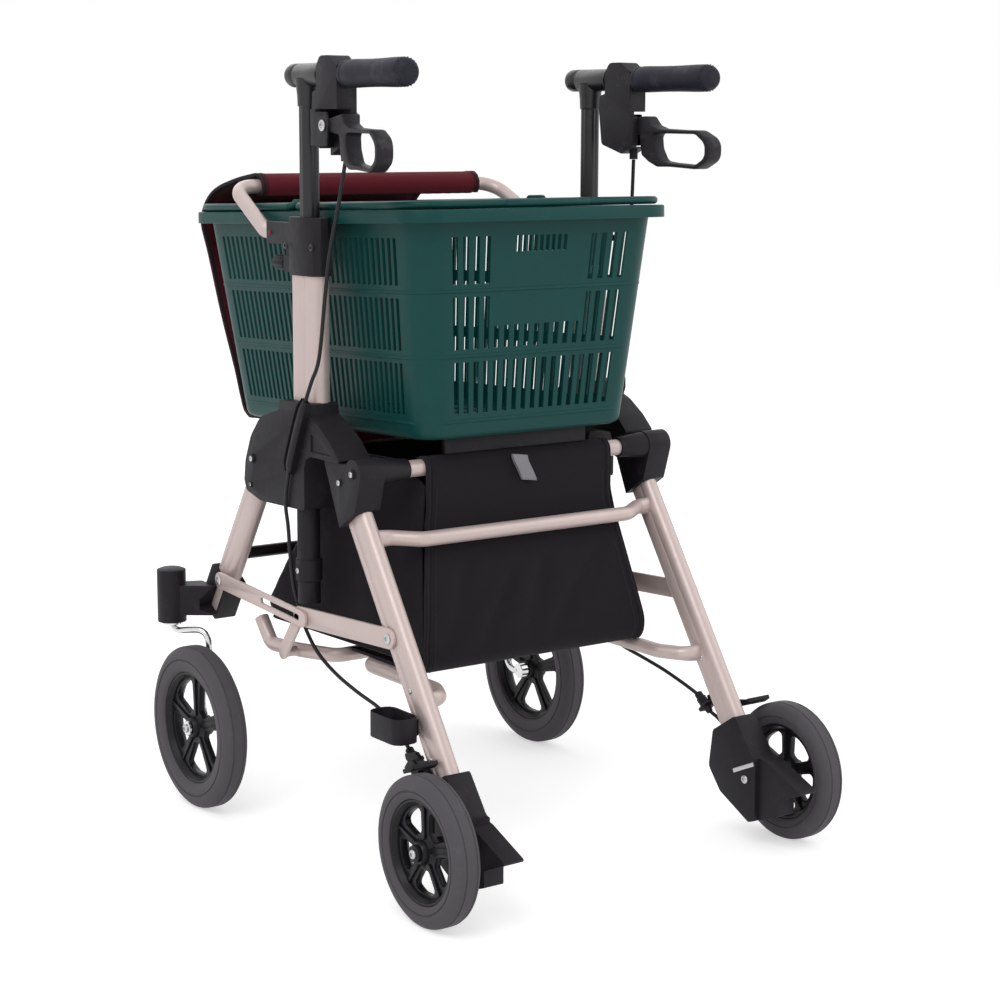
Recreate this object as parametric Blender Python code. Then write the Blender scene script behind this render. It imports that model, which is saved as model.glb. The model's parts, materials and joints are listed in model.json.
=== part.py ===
# Shopping rollator: a folding walking frame with four wheels and a lift-out basket.
# Metres. +X is the user's right, +Y is forward, +Z is up, and the tyres stand on z = 0.
# Lengths along Y are counted from the middle between the two axle lines. At the end the
# chassis is set along Y so that the origin is under the middle of the whole.

import math

import bmesh
import bpy
from mathutils import Matrix, Vector

for thing in list(bpy.data.objects):
    bpy.data.objects.remove(thing, do_unlink=True)

# Gaps
touch = 0.0003
pin_play = 0.0003
slide_play = 0.0003
swing_play = 0.0004
cloth_play = 0.0009

# Wheels
wheel_x = 0.254
wheel_base = 0.5024
front_radius = 0.0996
rear_radius = 0.081
front_tyre_width = 0.0325
rear_tyre_width = 0.0315
front_tyre_depth = 0.031
rear_tyre_depth = 0.0245
tread_flat = 0.012
wheel_sides = 24
ring_depth = 0.007
ring_width = 0.022
hub_radius = 0.016
hub_width = 0.028
disc_thickness = 0.008
bore_radius = 0.0048
window_count = 5

# Posts
post_x = 0.1985
post_y = 0.068
post_width = 0.026
post_depth = 0.056
post_bottom = 0.480
post_top = 0.700
tube_wall = 0.0015
inner_post_radius = 0.011
inner_post_bottom = 0.545
handle_height = 0.8795

# Legs
arch_under = 0.4575
leg_x = 0.2025
leg_width = 0.020
leg_depth = 0.037
rear_leg_top = (-0.0410, arch_under - 0.0619)
rear_leg_end = (-0.2198, 0.1274)
front_pivot = (0.1620, 0.4395)
front_lean = math.radians(32.6)
front_leg_head = 0.013
front_leg_length = 0.2420
front_pivot_radius = 0.004

# Side brackets
bracket_inner = 0.1825
bracket_outer = 0.2235
column_top = 0.516
column_wall = 0.004
guide_radius = 0.0132
guide_x = 0.2035
guide_y = 0.070
guide_bottom = 0.2806
guide_socket_top = 0.430
guide_top = 0.425

# Seat bars
bar_radius = 0.0095
rear_bar = (-0.0527, arch_under - 0.0094)
front_bar_y = 0.135
socket_inner = 0.1875
socket_outer = 0.2200
rear_bar_end = 0.2100
sleeve_start = 0.150

# Cross tubes
cross_radius = 0.0085
cross_y = -0.080
cross_z = 0.3725
base_z = 0.2125
base_front_y = 0.020
front_cross_radius = 0.0075
front_cross = (0.2340, 0.3120)

# Brace
link_thickness = 0.004
front_link_pivot = (0.2560, 0.2770)
middle_pivot = (0.0730, 0.2660)
rear_link_pivot = (-0.1170, 0.2760)
link_pin_radius = 0.004
front_link_half = 0.0100
rear_link_half = 0.0115
pull_radius = 0.0085

# Collar, guard and sling
collar_inner = 0.184
collar_outer = 0.2135
collar_bottom = 0.658
collar_top = 0.723
guard_radius = 0.0085
guard_z = 0.7035
guard_mouth_y = 0.145
guard_front_y = 0.260
sleeve_radius = 0.0125
sleeve_half = 0.1555
sling_thickness = 0.0022
knob_z = 0.6695
knob_radius = 0.009
knob_front = 0.140
knob_pin_radius = 0.003

# Basket
basket_y = 0.137
basket_tilt = math.radians(2.13)
rim_half_x = 0.1825
rim_half_y = 0.2575
rim_corner = 0.040
rim_height = 0.014
body_top_x = 0.170
body_top_y = 0.242
body_bottom_x = 0.1436
body_bottom_y = 0.2098
body_corner = 0.034
body_depth = 0.2493
basket_z = arch_under + 0.0161 + body_depth
wall = 0.0028
bail_half_x = 0.178
bail_half_y = 0.2470
bail_radius = 0.0045
bail_pivot_y = 0.008
guard_top_z = basket_z + 0.0291

# Handles
toe_out = math.radians(2.1)
fitting_radius = 0.0132
fitting_front = 0.106
handle_radius = 0.011
grip_radius = 0.0155
grip_front = -0.020
grip_end = -0.150
housing_inner = 0.1865
housing_outer = 0.2115
lever_pivot = (0.0010, handle_height - 0.055)
lever_inner = 0.1945
lever_outer = 0.2150
lever_flare = 0.135
lever_bend = -0.030

# Front casters
caster_y = 0.3176
caster_radius = 0.0175
caster_bottom = 0.2195
caster_top = 0.2865
stem_radius = 0.006
fork_radius = 0.004
fork_x = 0.232

# Wheel feet and brakes
foot_inner = 0.1870
foot_outer = 0.2180
arm_inner = 0.2195
arm_outer = 0.2235
brake_pivot = (-0.178, 0.150)
brake_tail = (-0.1865, 0.1195)
pad_gap = 0.003
pad_length = 0.020
pad_thickness = 0.006
cable_radius = 0.0022

# Bag
cloth = 0.0022
bag_half_top = 0.130
bag_half_bottom = 0.157
bag_floor = 0.2217
bag_top = arch_under - 0.0085

looks = {
    "silver": ((0.60, 0.53, 0.47), 0.36, 0.65),
    "black": ((0.028, 0.024, 0.030), 0.48, 0.0),
    "tyre": ((0.075, 0.070, 0.078), 0.75, 0.0),
    "chrome": ((0.78, 0.78, 0.79), 0.14, 1.0),
    "green": ((0.004, 0.075, 0.062), 0.42, 0.0),
    "burgundy": ((0.080, 0.008, 0.015), 0.80, 0.0),
    "nylon": ((0.016, 0.013, 0.018), 0.85, 0.0),
    "grey": ((0.30, 0.29, 0.31), 0.60, 0.0),
}


# Shape helpers

def made(points, faces):
    mesh = bpy.data.meshes.new("shape")
    mesh.from_pydata([tuple(point) for point in points], [], faces)
    work = bmesh.new()
    work.from_mesh(mesh)
    bmesh.ops.recalc_face_normals(work, faces=work.faces)
    work.to_mesh(mesh)
    work.free()
    shape = bpy.data.objects.new("shape", mesh)
    bpy.context.collection.objects.link(shape)
    return shape


def extruded(outline, axis, low, high):
    def spot(u, v, w):
        if axis == "x":
            return (w, u, v)
        if axis == "y":
            return (u, w, v)
        return (u, v, w)

    count = len(outline)
    points = [spot(u, v, low) for u, v in outline] + [spot(u, v, high) for u, v in outline]
    faces = [list(range(count)), list(range(count, 2 * count))]
    for i in range(count):
        after = (i + 1) % count
        faces.append([i, after, count + after, count + i])
    return made(points, faces)


def block(low, high):
    outline = [(low[0], low[1]), (high[0], low[1]), (high[0], high[1]), (low[0], high[1])]
    return extruded(outline, "z", low[2], high[2])


def turned(profile, axis, centre, sides, ring=False):
    points = []
    loops = []
    for radius, along in profile:
        start = len(points)
        if radius == 0:
            loops.append([start])
            turns = [0]
        else:
            loops.append([start + i for i in range(sides)])
            turns = [-math.pi / 2 + 2 * math.pi * (i + 0.5) / sides for i in range(sides)]
        reach = radius / math.cos(math.pi / sides)
        for turn in turns:
            u, v = reach * math.cos(turn), reach * math.sin(turn)
            place_at = {"x": (along, u, v), "y": (u, along, v), "z": (u, v, along)}[axis]
            points.append(Vector(centre) + Vector(place_at))
    faces = []
    pairs = list(zip(loops, loops[1:]))
    if ring:
        pairs.append((loops[-1], loops[0]))
    else:
        faces += [loop for loop in (loops[0], loops[-1]) if len(loop) > 1]
    for one, two in pairs:
        for i in range(sides):
            after = (i + 1) % sides
            if len(one) == 1:
                faces.append([one[0], two[i], two[after]])
            elif len(two) == 1:
                faces.append([one[i], one[after], two[0]])
            else:
                faces.append([one[i], one[after], two[after], two[i]])
    return made(points, faces)


def rod(axis, centre, radius, low, high, sides=12):
    return turned([(radius, low), (radius, high)], axis, centre, sides)


def swept(path, section, side, inner=None):
    path = [Vector(spot) for spot in path]
    loops = [section] if inner is None else [section, inner]
    size = len(section)
    stride = size * len(loops)
    across = Vector(side)
    points = []
    for i, spot in enumerate(path):
        ahead = (path[min(i + 1, len(path) - 1)] - path[max(i - 1, 0)]).normalized()
        across = (across - ahead * across.dot(ahead)).normalized()
        other = ahead.cross(across)
        for loop in loops:
            points += [spot + across * a + other * b for a, b in loop]
    faces = []
    for i in range(len(path) - 1):
        for k in range(len(loops)):
            for j in range(size):
                one = i * stride + k * size + j
                two = i * stride + k * size + (j + 1) % size
                faces.append([one, two, two + stride, one + stride])
    for start in (0, (len(path) - 1) * stride):
        if inner is None:
            faces.append([start + j for j in range(size)])
        else:
            for j in range(size):
                after = (j + 1) % size
                faces.append([start + j, start + after, start + size + after, start + size + j])
    return made(points, faces)


def circle(radius, sides=10):
    turns = [2 * math.pi * (i + 0.5) / sides for i in range(sides)]
    return [(radius * math.cos(turn), radius * math.sin(turn)) for turn in turns]


def stadium(width, depth, steps=5):
    radius = width / 2
    straight = depth / 2 - radius
    points = []
    for end in (1, -1):
        for i in range(steps + 1):
            turn = math.pi * i / steps + (0 if end > 0 else math.pi)
            points.append((radius * math.cos(turn), end * straight + radius * math.sin(turn)))
    return points


def arc(centre, radius, start, stop, steps=8):
    turns = [math.radians(start + (stop - start) * i / steps) for i in range(steps + 1)]
    return [(centre[0] + radius * math.cos(t), centre[1] + radius * math.sin(t)) for t in turns]


def corner(before, here, after, radius, steps):
    before, here, after = Vector(before), Vector(here), Vector(after)
    inward = (here - before).normalized()
    outward = (after - here).normalized()
    turn = inward.angle(outward)
    if radius == 0 or turn < 0.01:
        return [here]
    start = here - inward * radius * math.tan(turn / 2)
    centre = here + (outward - inward).normalized() * radius / math.cos(turn / 2)
    arm = start - centre
    points = []
    for i in range(steps + 1):
        step = turn * i / steps
        points.append(centre + arm * math.cos(step) + inward * radius * math.sin(step))
    return points


def bent(route, radius, steps=4):
    radii = radius if isinstance(radius, list) else [radius] * len(route)
    path = [Vector(route[0])]
    for before, here, after, bend in zip(route, route[1:], route[2:], radii):
        path += corner(before, here, after, bend, steps)
    return path + [Vector(route[-1])]


def rounded(outline, radius, steps=2):
    count = len(outline)
    radii = radius if isinstance(radius, list) else [radius] * count
    points = []
    for i in range(count):
        found = corner(outline[i - 1], outline[i], outline[(i + 1) % count], radii[i], steps)
        points += [tuple(point) for point in found]
    return points


def rounded_box(half_x, half_y, radius, steps=4):
    outline = [(half_x, half_y), (-half_x, half_y), (-half_x, -half_y), (half_x, -half_y)]
    return rounded(outline, radius, steps)


def flowing(route, spacing):
    route = [Vector(spot) for spot in route]
    ends = [route[0] * 2 - route[1]] + route + [route[-1] * 2 - route[-2]]
    path = []
    for i in range(len(route) - 1):
        a, b, c, d = ends[i:i + 4]
        steps = max(1, round((c - b).length / spacing))
        for j in range(steps):
            t = j / steps
            path.append(0.5 * (2 * b + (c - a) * t + (2 * a - 5 * b + 4 * c - d) * t ** 2
                               + (3 * b - a - 3 * c + d) * t ** 3))
    return path + [route[-1]]


def changed(operation, shape, tools):
    for tool in tools:
        change = shape.modifiers.new("change", "BOOLEAN")
        change.operation = operation
        change.solver = "EXACT"
        change.object = tool
    bpy.context.view_layer.update()
    graph = bpy.context.evaluated_depsgraph_get()
    result = bpy.data.meshes.new_from_object(shape.evaluated_get(graph))
    shape.modifiers.clear()
    shape.data = result
    for tool in tools:
        bpy.data.objects.remove(tool, do_unlink=True)
    return shape


def joined(shape, *tools):
    return changed("UNION", shape, tools)


def cut(shape, *tools):
    return changed("DIFFERENCE", shape, tools)


def together(shapes):
    work = bmesh.new()
    for shape in shapes:
        work.from_mesh(shape.data)
    work.to_mesh(shapes[0].data)
    work.free()
    for shape in shapes[1:]:
        bpy.data.objects.remove(shape, do_unlink=True)
    return shapes[0]


def strip(path, halves, thickness):
    path = [Vector((0, y, z)) for y, z in path]
    points = []
    for i, spot in enumerate(path):
        ahead = (path[min(i + 1, len(path) - 1)] - path[max(i - 1, 0)]).normalized()
        out = Vector((0, -ahead.z, ahead.y)) * thickness / 2
        for side, offset in ((-1, 1), (1, 1), (1, -1), (-1, -1)):
            points.append(spot + out * offset + Vector((side * halves[i], 0, 0)))
    faces = [[0, 1, 2, 3], [4 * len(path) - 4 + i for i in range(4)]]
    for i in range(len(path) - 1):
        for j in range(4):
            after = (j + 1) % 4
            faces.append([4 * i + j, 4 * i + after, 4 * i + 4 + after, 4 * i + 4 + j])
    return made(points, faces)


# Placing. Every piece hangs on the chassis.

def moved(point, direction, distance):
    return (point[0] + direction[0] * distance, point[1] + direction[1] * distance)


chassis = bpy.data.objects.new("chassis", None)
bpy.context.collection.objects.link(chassis)


def finish(look, name):
    colour, roughness, metallic = looks[look]
    material = bpy.data.materials.new(look + "_" + name)
    material.use_nodes = True
    shader = material.node_tree.nodes["Principled BSDF"]
    shader.inputs["Base Color"].default_value = (*colour, 1)
    shader.inputs["Roughness"].default_value = roughness
    shader.inputs["Metallic"].default_value = metallic
    return material


def place(name, shape, look, side=1, pivot=(0, 0, 0)):
    mesh = shape.data
    if side < 0:
        mesh.transform(Matrix.Scale(-1, 4, (1, 0, 0)))
        mesh.flip_normals()
    pivot = Vector((pivot[0] * side, pivot[1], pivot[2]))
    mesh.transform(Matrix.Translation(-pivot))
    mesh.materials.clear()
    mesh.materials.append(finish(look, name))
    for face in mesh.polygons:
        face.material_index = 0
    mesh.shade_smooth()
    mesh.set_sharp_from_angle(angle=math.radians(32))
    mesh.name = name
    shape.name = name
    shape.location = pivot
    shape.parent = chassis
    return shape


sides = ((-1, "left_"), (1, "right_"))

# Directions along the legs, down, and across them, forward
rear_down = Vector((rear_leg_end[0] - rear_leg_top[0], rear_leg_end[1] - rear_leg_top[1])).normalized()
rear_across = (-rear_down[1], rear_down[0])
front_down = (math.sin(front_lean), -math.cos(front_lean))
front_across = (math.cos(front_lean), math.sin(front_lean))
leg_inner = leg_x - leg_width / 2
leg_outer = leg_x + leg_width / 2
front_leg_end = moved(front_pivot, front_down, front_leg_length)


def along_leg(down, across, start, distance, offset):
    return moved(moved(start, down, distance), across, offset)


def front_spot(distance, offset):
    return along_leg(front_down, front_across, front_pivot, distance, offset)


def rear_spot(distance, offset):
    return along_leg(rear_down, rear_across, rear_leg_top, distance, offset)


def leg_tube(start, end):
    path = [(leg_x, *start), (leg_x, *end)]
    outer = stadium(leg_width, leg_depth)
    inner = stadium(leg_width - 2 * tube_wall, leg_depth - 2 * tube_wall)
    return swept(path, outer, (1, 0, 0), inner)


# Wheels

front_axle = (wheel_base / 2, front_radius)
rear_axle = (-wheel_base / 2, rear_radius)


def tyre(radius, width, depth, centre):
    inner = radius - depth
    half = [(radius, tread_flat / 2), (radius - 0.0045, width / 2 - 0.0035),
            (radius - 0.013, width / 2), (inner + 0.004, width / 2 - 0.002),
            (inner, ring_width / 2 + 0.001)]
    loop = half + [(r, -along) for r, along in reversed(half)]
    return turned(loop, "x", centre, wheel_sides, ring=True)


def rim(radius, centre):
    ring_inner = radius - ring_depth
    half = [(bore_radius, hub_width / 2), (hub_radius, hub_width / 2),
            (hub_radius + 0.002, disc_thickness / 2), (ring_inner, disc_thickness / 2),
            (ring_inner + 0.001, ring_width / 2), (radius, ring_width / 2)]
    loop = half + [(r, -along) for r, along in reversed(half)]
    shape = turned(loop, "x", centre, wheel_sides, ring=True)
    low = hub_radius + 0.006
    high = ring_inner - 0.004
    tools = []
    for i in range(window_count):
        middle_turn = 90 + 360 * (i + 0.5) / window_count
        spread_low = 13
        spread_high = 20
        outline = arc(centre[1:], high, middle_turn - spread_high, middle_turn + spread_high, 3)
        outline += arc(centre[1:], low, middle_turn + spread_low, middle_turn - spread_low, 1)
        tools.append(extruded(outline, "x", centre[0] - 0.02, centre[0] + 0.02))
    return cut(shape, together(tools))


for side, label in sides:
    for end, radius, width, depth, axle in (
            ("front_", front_radius, front_tyre_width, front_tyre_depth, front_axle),
            ("rear_", rear_radius, rear_tyre_width, rear_tyre_depth, rear_axle)):
        centre = (wheel_x, *axle)
        place(label + end + "tyre", tyre(radius, width, depth, centre), "tyre", side, centre)
        place(label + end + "rim", rim(radius - depth - touch, centre), "black", side, centre)


# Posts, brackets and leg sockets

def outer_post():
    path = [(post_x, post_y, post_bottom), (post_x, post_y, post_top)]
    outer = stadium(post_width, post_depth)
    inner = stadium(post_width - 2 * tube_wall, post_depth - 2 * tube_wall)
    return swept(path, outer, (1, 0, 0), inner)


def post_hole(low, high):
    grown = stadium(post_width + 2 * touch, post_depth + 2 * touch)
    return swept([(post_x, post_y, low), (post_x, post_y, high)], grown, (1, 0, 0))


column_rear = post_y - post_depth / 2 - column_wall
column_front = post_y + post_depth / 2 + column_wall
slot_rear = front_pivot[0] - 0.026
slot_top = front_pivot[1] + 0.0245
tongue_rear = -0.008
tongue_front = 0.006
tongue_top = arch_under + 0.0095
tongue_half = 0.0075


def bracket():
    outline = rounded([
        (0.184, 0.412), (0.1805, 0.436), (0.1670, 0.466), (0.1440, 0.491), (column_front, 0.504),
        (column_front, column_top), (column_rear, column_top), (column_rear, 0.503),
        (0.014, 0.495), (-0.012, 0.478), (-0.034, arch_under), (guide_y - 0.025, arch_under),
        (guide_y - 0.025, 0.394), (0.125, 0.392), (0.147, 0.392), (0.179, 0.400),
    ], [0.004, 0.02, 0.03, 0.03, 0.004, 0.005, 0.005, 0.006, 0.03, 0.03, 0.003, 0.014, 0.004, 0, 0, 0.006])
    shape = extruded(outline, "x", bracket_inner, bracket_outer)
    slot = block((leg_inner - swing_play, slot_rear, 0.38), (leg_outer + swing_play, 0.22, slot_top))
    guide = rod("z", (guide_x, guide_y, 0), guide_radius + touch, 0.38, guide_socket_top)
    tongue = block((leg_x - tongue_half - touch, tongue_rear - touch, arch_under - 0.0175),
                   (leg_x + tongue_half + touch, tongue_front + touch, tongue_top + touch))
    pocket_outline = [(0.030, 0.4835), (0.014, 0.479), (-0.014, 0.4635), (0.030, 0.4635)]
    pocket = extruded(pocket_outline, "x", bracket_outer - 0.002, bracket_outer + 0.01)
    shape = cut(shape, post_hole(post_bottom - touch, 0.6), slot, guide, tongue, pocket)
    pin = rod("x", (0, *front_pivot), front_pivot_radius, bracket_inner + 0.003, bracket_outer + 0.002)
    head = rod("x", (0, *front_pivot), 0.0055, bracket_outer - 0.001, bracket_outer + 0.0025)
    stop = rod("x", (0, 0.168, 0.408), 0.0035, bracket_outer - 0.001, bracket_outer + 0.0015, 10)
    return joined(shape, pin, head, stop)


socket_half = leg_depth / 2 + 0.001
tenon = 0.020


def leg_socket():
    mouth_rear = rear_spot(0, -socket_half)
    mouth_front = rear_spot(0, socket_half)
    boss = arc(rear_bar, 0.0165, 33.4, 200, 9)
    outline = [mouth_front, (0.0075, arch_under - touch), (boss[0][0], arch_under - touch)]
    outline += boss[1:] + [mouth_rear]
    shape = extruded(outline, "x", socket_inner, socket_outer)
    grown = stadium(leg_width - 2 * tube_wall - 2 * touch, leg_depth - 2 * tube_wall - 2 * touch)
    plug = swept([(leg_x, *rear_spot(-0.008, 0)), (leg_x, *rear_spot(tenon, 0))], grown, (1, 0, 0))
    tongue = block((leg_x - tongue_half, tongue_rear, arch_under - 0.0125),
                   (leg_x + tongue_half, tongue_front, tongue_top))
    screw = rod("x", (0, -0.026, arch_under - 0.0221), 0.004, socket_outer - 0.001, socket_outer + 0.0015, 10)
    cap = rod("x", (0, *rear_bar), 0.0055, socket_outer - 0.001, socket_outer + 0.002, 12)
    shape = joined(shape, plug, tongue, screw, cap)
    return cut(shape, rod("x", (0, *rear_bar), bar_radius + touch, 0.18, rear_bar_end + touch))


def guide_tube():
    profile = [(guide_radius, guide_top), (guide_radius, 0.333), (guide_radius + 0.0022, 0.332),
               (guide_radius + 0.0022, 0.308), (guide_radius, 0.307), (guide_radius, guide_bottom),
               (guide_radius - tube_wall, guide_bottom), (guide_radius - tube_wall, guide_top)]
    shape = turned(profile, "z", (guide_x, guide_y, 0), 16, ring=True)
    bolt = rod("x", (0, guide_y, 0.320), 0.004, guide_x + guide_radius - 0.001,
               guide_x + guide_radius + 0.0042, 10)
    return joined(shape, bolt)


def rear_leg():
    shape = leg_tube((rear_leg_top[0] + rear_down[0] * touch, rear_leg_top[1] + rear_down[1] * touch),
                     rear_leg_end)
    pin = rod("x", (0, *rear_link_pivot), link_pin_radius, leg_outer - 0.008,
              leg_outer + 2 * touch + link_thickness, 12)
    head = rod("x", (0, *rear_link_pivot), 0.007, leg_outer + 2 * touch + link_thickness,
               leg_outer + 2 * touch + link_thickness + 0.0015, 12)
    return joined(shape, pin, head)


for side, label in sides:
    place(label + "outer_post", outer_post(), "silver", side)
    place(label + "bracket", bracket(), "black", side)
    place(label + "leg_socket", leg_socket(), "black", side)
    place(label + "guide_tube", guide_tube(), "black", side)
    place(label + "rear_leg", rear_leg(), "silver", side)


# Tubes across the frame

leg_face = leg_inner - touch


def crossing(route, radius):
    half = list(route)
    whole = [(-x, y, z) for x, y, z in half] + [spot for spot in reversed(half)]
    return swept(bent(whole, 0.020), circle(radius), (0, 0, 1))


def rear_cross_tube():
    route = [(leg_face, -0.0595, cross_z + 0.002), (0.176, -0.0595, cross_z + 0.002),
             (0.146, cross_y, cross_z)]
    return crossing(route, cross_radius)


def base_tube():
    route = [(leg_face, -0.1585, base_z), (0.176, -0.1585, base_z), (0.159, -0.125, base_z),
             (0.159, base_front_y, base_z)]
    return crossing(route, cross_radius)


basket_turn = Matrix.Translation((0, basket_y, basket_z)) @ Matrix.Rotation(-basket_tilt, 4, "X")


def basket_under(y):
    spot = basket_turn @ Vector((0, 0, -body_depth))
    return spot.z - math.tan(basket_tilt) * (y - spot.y)


front_bar_z = basket_under(front_bar_y) - 2 * touch - sling_thickness - cloth_play - bar_radius
flap_radius = bar_radius + cloth_play + cloth


def rear_seat_bar():
    half = [(bar_radius, rear_bar_end), (bar_radius, socket_inner - touch),
            (0.0155, socket_inner - touch), (0.0120, sleeve_start), (bar_radius, sleeve_start)]
    profile = half + [(radius, -x) for radius, x in reversed(half)]
    return turned(profile, "x", (0, *rear_bar), 16)


place("rear_cross_tube", rear_cross_tube(), "silver")
place("base_tube", base_tube(), "silver")
place("rear_seat_bar", rear_seat_bar(), "silver")
place("front_seat_bar", rod("x", (0, front_bar_y, front_bar_z), bar_radius,
                            -(bracket_inner - touch), bracket_inner - touch), "silver")


# Collars, guard tube, sleeve and sling

def collar():
    width = collar_outer - collar_inner
    body = stadium(width, post_depth + 0.008)
    centre_x = (collar_outer + collar_inner) / 2
    shape = swept([(centre_x, post_y, collar_bottom), (centre_x, post_y, collar_top)], body, (1, 0, 0))
    arm_half = guard_radius + 0.0038
    arm = block((post_x - arm_half, post_y, guard_z - arm_half),
                (post_x + arm_half, guard_mouth_y, guard_z + arm_half))
    rib = block((post_x - 0.006, post_y, knob_z), (post_x + 0.006, 0.1115, guard_z))
    boss_front = post_y + post_depth / 2 + 0.016
    boss = block((post_x - 0.0095, post_y, knob_z - 0.0095), (post_x + 0.0095, boss_front, knob_z + 0.0095))
    shape = joined(shape, arm, rib, boss)
    grown = stadium(post_width + 2 * touch, post_depth + 2 * touch)
    low_hole = swept([(post_x, post_y, collar_bottom - 0.01), (post_x, post_y, post_top + touch)],
                     grown, (1, 0, 0))
    high_hole = rod("z", (post_x, post_y, 0), inner_post_radius + slide_play, post_top - 0.01,
                    collar_top + 0.01)
    mouth = rod("y", (post_x, 0, guard_z), guard_radius + touch, guard_mouth_y - 0.033 - touch, 0.2)
    thread = rod("y", (post_x, 0, knob_z), knob_pin_radius + pin_play, boss_front - 0.013, 0.2, 10)
    return cut(shape, low_hole, high_hole, mouth, thread)


def height_knob():
    back = post_y + post_depth / 2 + 0.016 + touch
    profile = [(0, knob_front), (knob_radius - 0.002, knob_front), (knob_radius, knob_front - 0.003),
               (knob_radius, back + 0.006), (knob_radius - 0.003, back),
               (knob_pin_radius, back), (knob_pin_radius, back - 0.012), (0, back - 0.012)]
    return turned(profile, "y", (post_x, 0, knob_z), 12)


def guard_tube():
    route = [(post_x, guard_mouth_y - 0.033, guard_z), (post_x, guard_mouth_y + 0.023, guard_z),
             (0.190, guard_front_y, guard_top_z)]
    whole = route + [(-x, y, z) for x, y, z in reversed(route)]
    path = bent(whole, 0.028)
    return swept(path, circle(guard_radius), (0, 0, 1))


guard_axis = (guard_front_y, guard_top_z)


def guard_sleeve():
    profile = [(sleeve_radius, sleeve_half), (sleeve_radius, -sleeve_half),
               (guard_radius + touch, -sleeve_half), (guard_radius + touch, sleeve_half)]
    return turned(profile, "x", (0, *guard_axis), 16, ring=True)


def basket_sling():
    loop = sleeve_radius + cloth_play + sling_thickness / 2
    under = basket_under(0) - 2 * touch - sling_thickness / 2
    fall = math.tan(basket_tilt)
    path = arc(guard_axis, loop, 225, 78, 9)
    path += [(0.300, guard_top_z + 0.0090), (0.328, guard_top_z + 0.0035), (0.356, guard_top_z - 0.0035),
             (0.378, guard_top_z - 0.0130), (0.395, guard_top_z - 0.0280), (0.4035, guard_top_z - 0.0500),
             (0.3965, 0.6720), (0.3880, 0.6300),
             (0.3740, 0.5650), (0.3610, 0.5050), (0.3550, 0.4800)]
    path += [(0.3480, 0.4690), (0.3360, under - fall * 0.3360 - 0.0008)]
    path += [(y, under - fall * y) for y in (0.320, 0.260, 0.200, 0.155, front_bar_y)]
    around = bar_radius + cloth_play + sling_thickness / 2
    path += arc((front_bar_y, front_bar_z), around, 90, 200, 6)[1:]
    halves = []
    for y, z in path:
        share = min(1, max(0, (0.705 - z) / 0.22))
        halves.append(sleeve_half + 0.002 - 0.0275 * share)
    return strip(path, halves, sling_thickness)


for side, label in sides:
    place(label + "collar", collar(), "black", side)
    place(label + "height_knob", height_knob(), "black", side, (post_x, 0.1, knob_z))
place("guard_tube", guard_tube(), "silver")
place("guard_sleeve", guard_sleeve(), "black")
place("basket_sling", basket_sling(), "burgundy")


# Basket and its two bails, in the basket's own tilted frame

def tub(inset, low, high):
    points = []
    faces = []
    levels = ((body_top_x, body_top_y, 0.0), (body_bottom_x, body_bottom_y, -body_depth))
    loops = []
    for z in (high, low):
        share = -z / body_depth
        half_x = levels[0][0] + (levels[1][0] - levels[0][0]) * share - inset
        half_y = levels[0][1] + (levels[1][1] - levels[0][1]) * share - inset
        loop = rounded_box(half_x, half_y, body_corner - inset)
        loops.append([len(points) + i for i in range(len(loop))])
        points += [(x, y, z) for x, y in loop]
    faces += loops
    for i in range(len(loops[0])):
        after = (i + 1) % len(loops[0])
        faces.append([loops[0][i], loops[0][after], loops[1][after], loops[1][i]])
    return made(points, faces)


def slots(along, rows, count, skip, reach):
    pitch = 0.030
    width = 0.011
    tools = []
    for low, high, plain in rows:
        for i in range(count):
            where = (i - (count - 1) / 2) * pitch
            if plain and abs(where) < skip:
                continue
            if along == "y":
                tools.append(block((where - width / 2, -reach, low), (where + width / 2, reach, high)))
            else:
                tools.append(block((-reach, where - width / 2, low), (reach, where + width / 2, high)))
    return together(tools)


ear_inner = bail_half_x - bail_radius - 0.0075


def basket():
    shell = tub(0, -body_depth, 0.001)
    lip_out = rounded_box(rim_half_x, rim_half_y, rim_corner)
    shell = joined(shell, extruded(lip_out, "z", -rim_height + 0.004, 0.004))
    under = rounded_box(rim_half_x - wall, rim_half_y - wall, rim_corner - wall)
    trough = extruded(under, "z", -rim_height - 0.01, 0.004 - wall)
    trough = cut(trough, tub(0, -0.05, 0.03))
    shell = cut(shell, trough, tub(wall, wall - body_depth, 0.03))
    rows = ((-0.078, -0.026, True), (-0.150, -0.092, True), (-0.222, -0.164, False))
    end_slots = slots("y", rows, 7, 0.07, 0.4)
    side_slots = slots("x", [(low, high, False) for low, high, plain in rows], 11, 0, 0.3)
    shell = cut(shell, end_slots)
    shell = cut(shell, side_slots)
    ears = []
    for end in (-1, 1):
        inner, outer = sorted((end * ear_inner, end * (ear_inner + 0.006)))
        ear = block((inner, -0.017, 0.002), (outer, 0.017, 0.0175))
        for where in (-bail_pivot_y, bail_pivot_y):
            hole = rod("x", (0, where, bail_height), bail_radius + pin_play, inner - 0.01, outer + 0.01, 10)
            ear = cut(ear, hole)
        ears.append(ear)
    # Cross rib that stands on the rear seat bar
    local = basket_turn.inverted() @ Vector((0, rear_bar[0], rear_bar[1] + flap_radius + touch))
    ribs = [block((-0.100, local.y - 0.004, local.z), (0.100, local.y + 0.004, wall / 2 - body_depth))]
    shell = joined(shell, *ears, *ribs)
    shell.data.transform(basket_turn)
    return shell


bail_height = 0.004 + 0.001 + bail_radius


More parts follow.
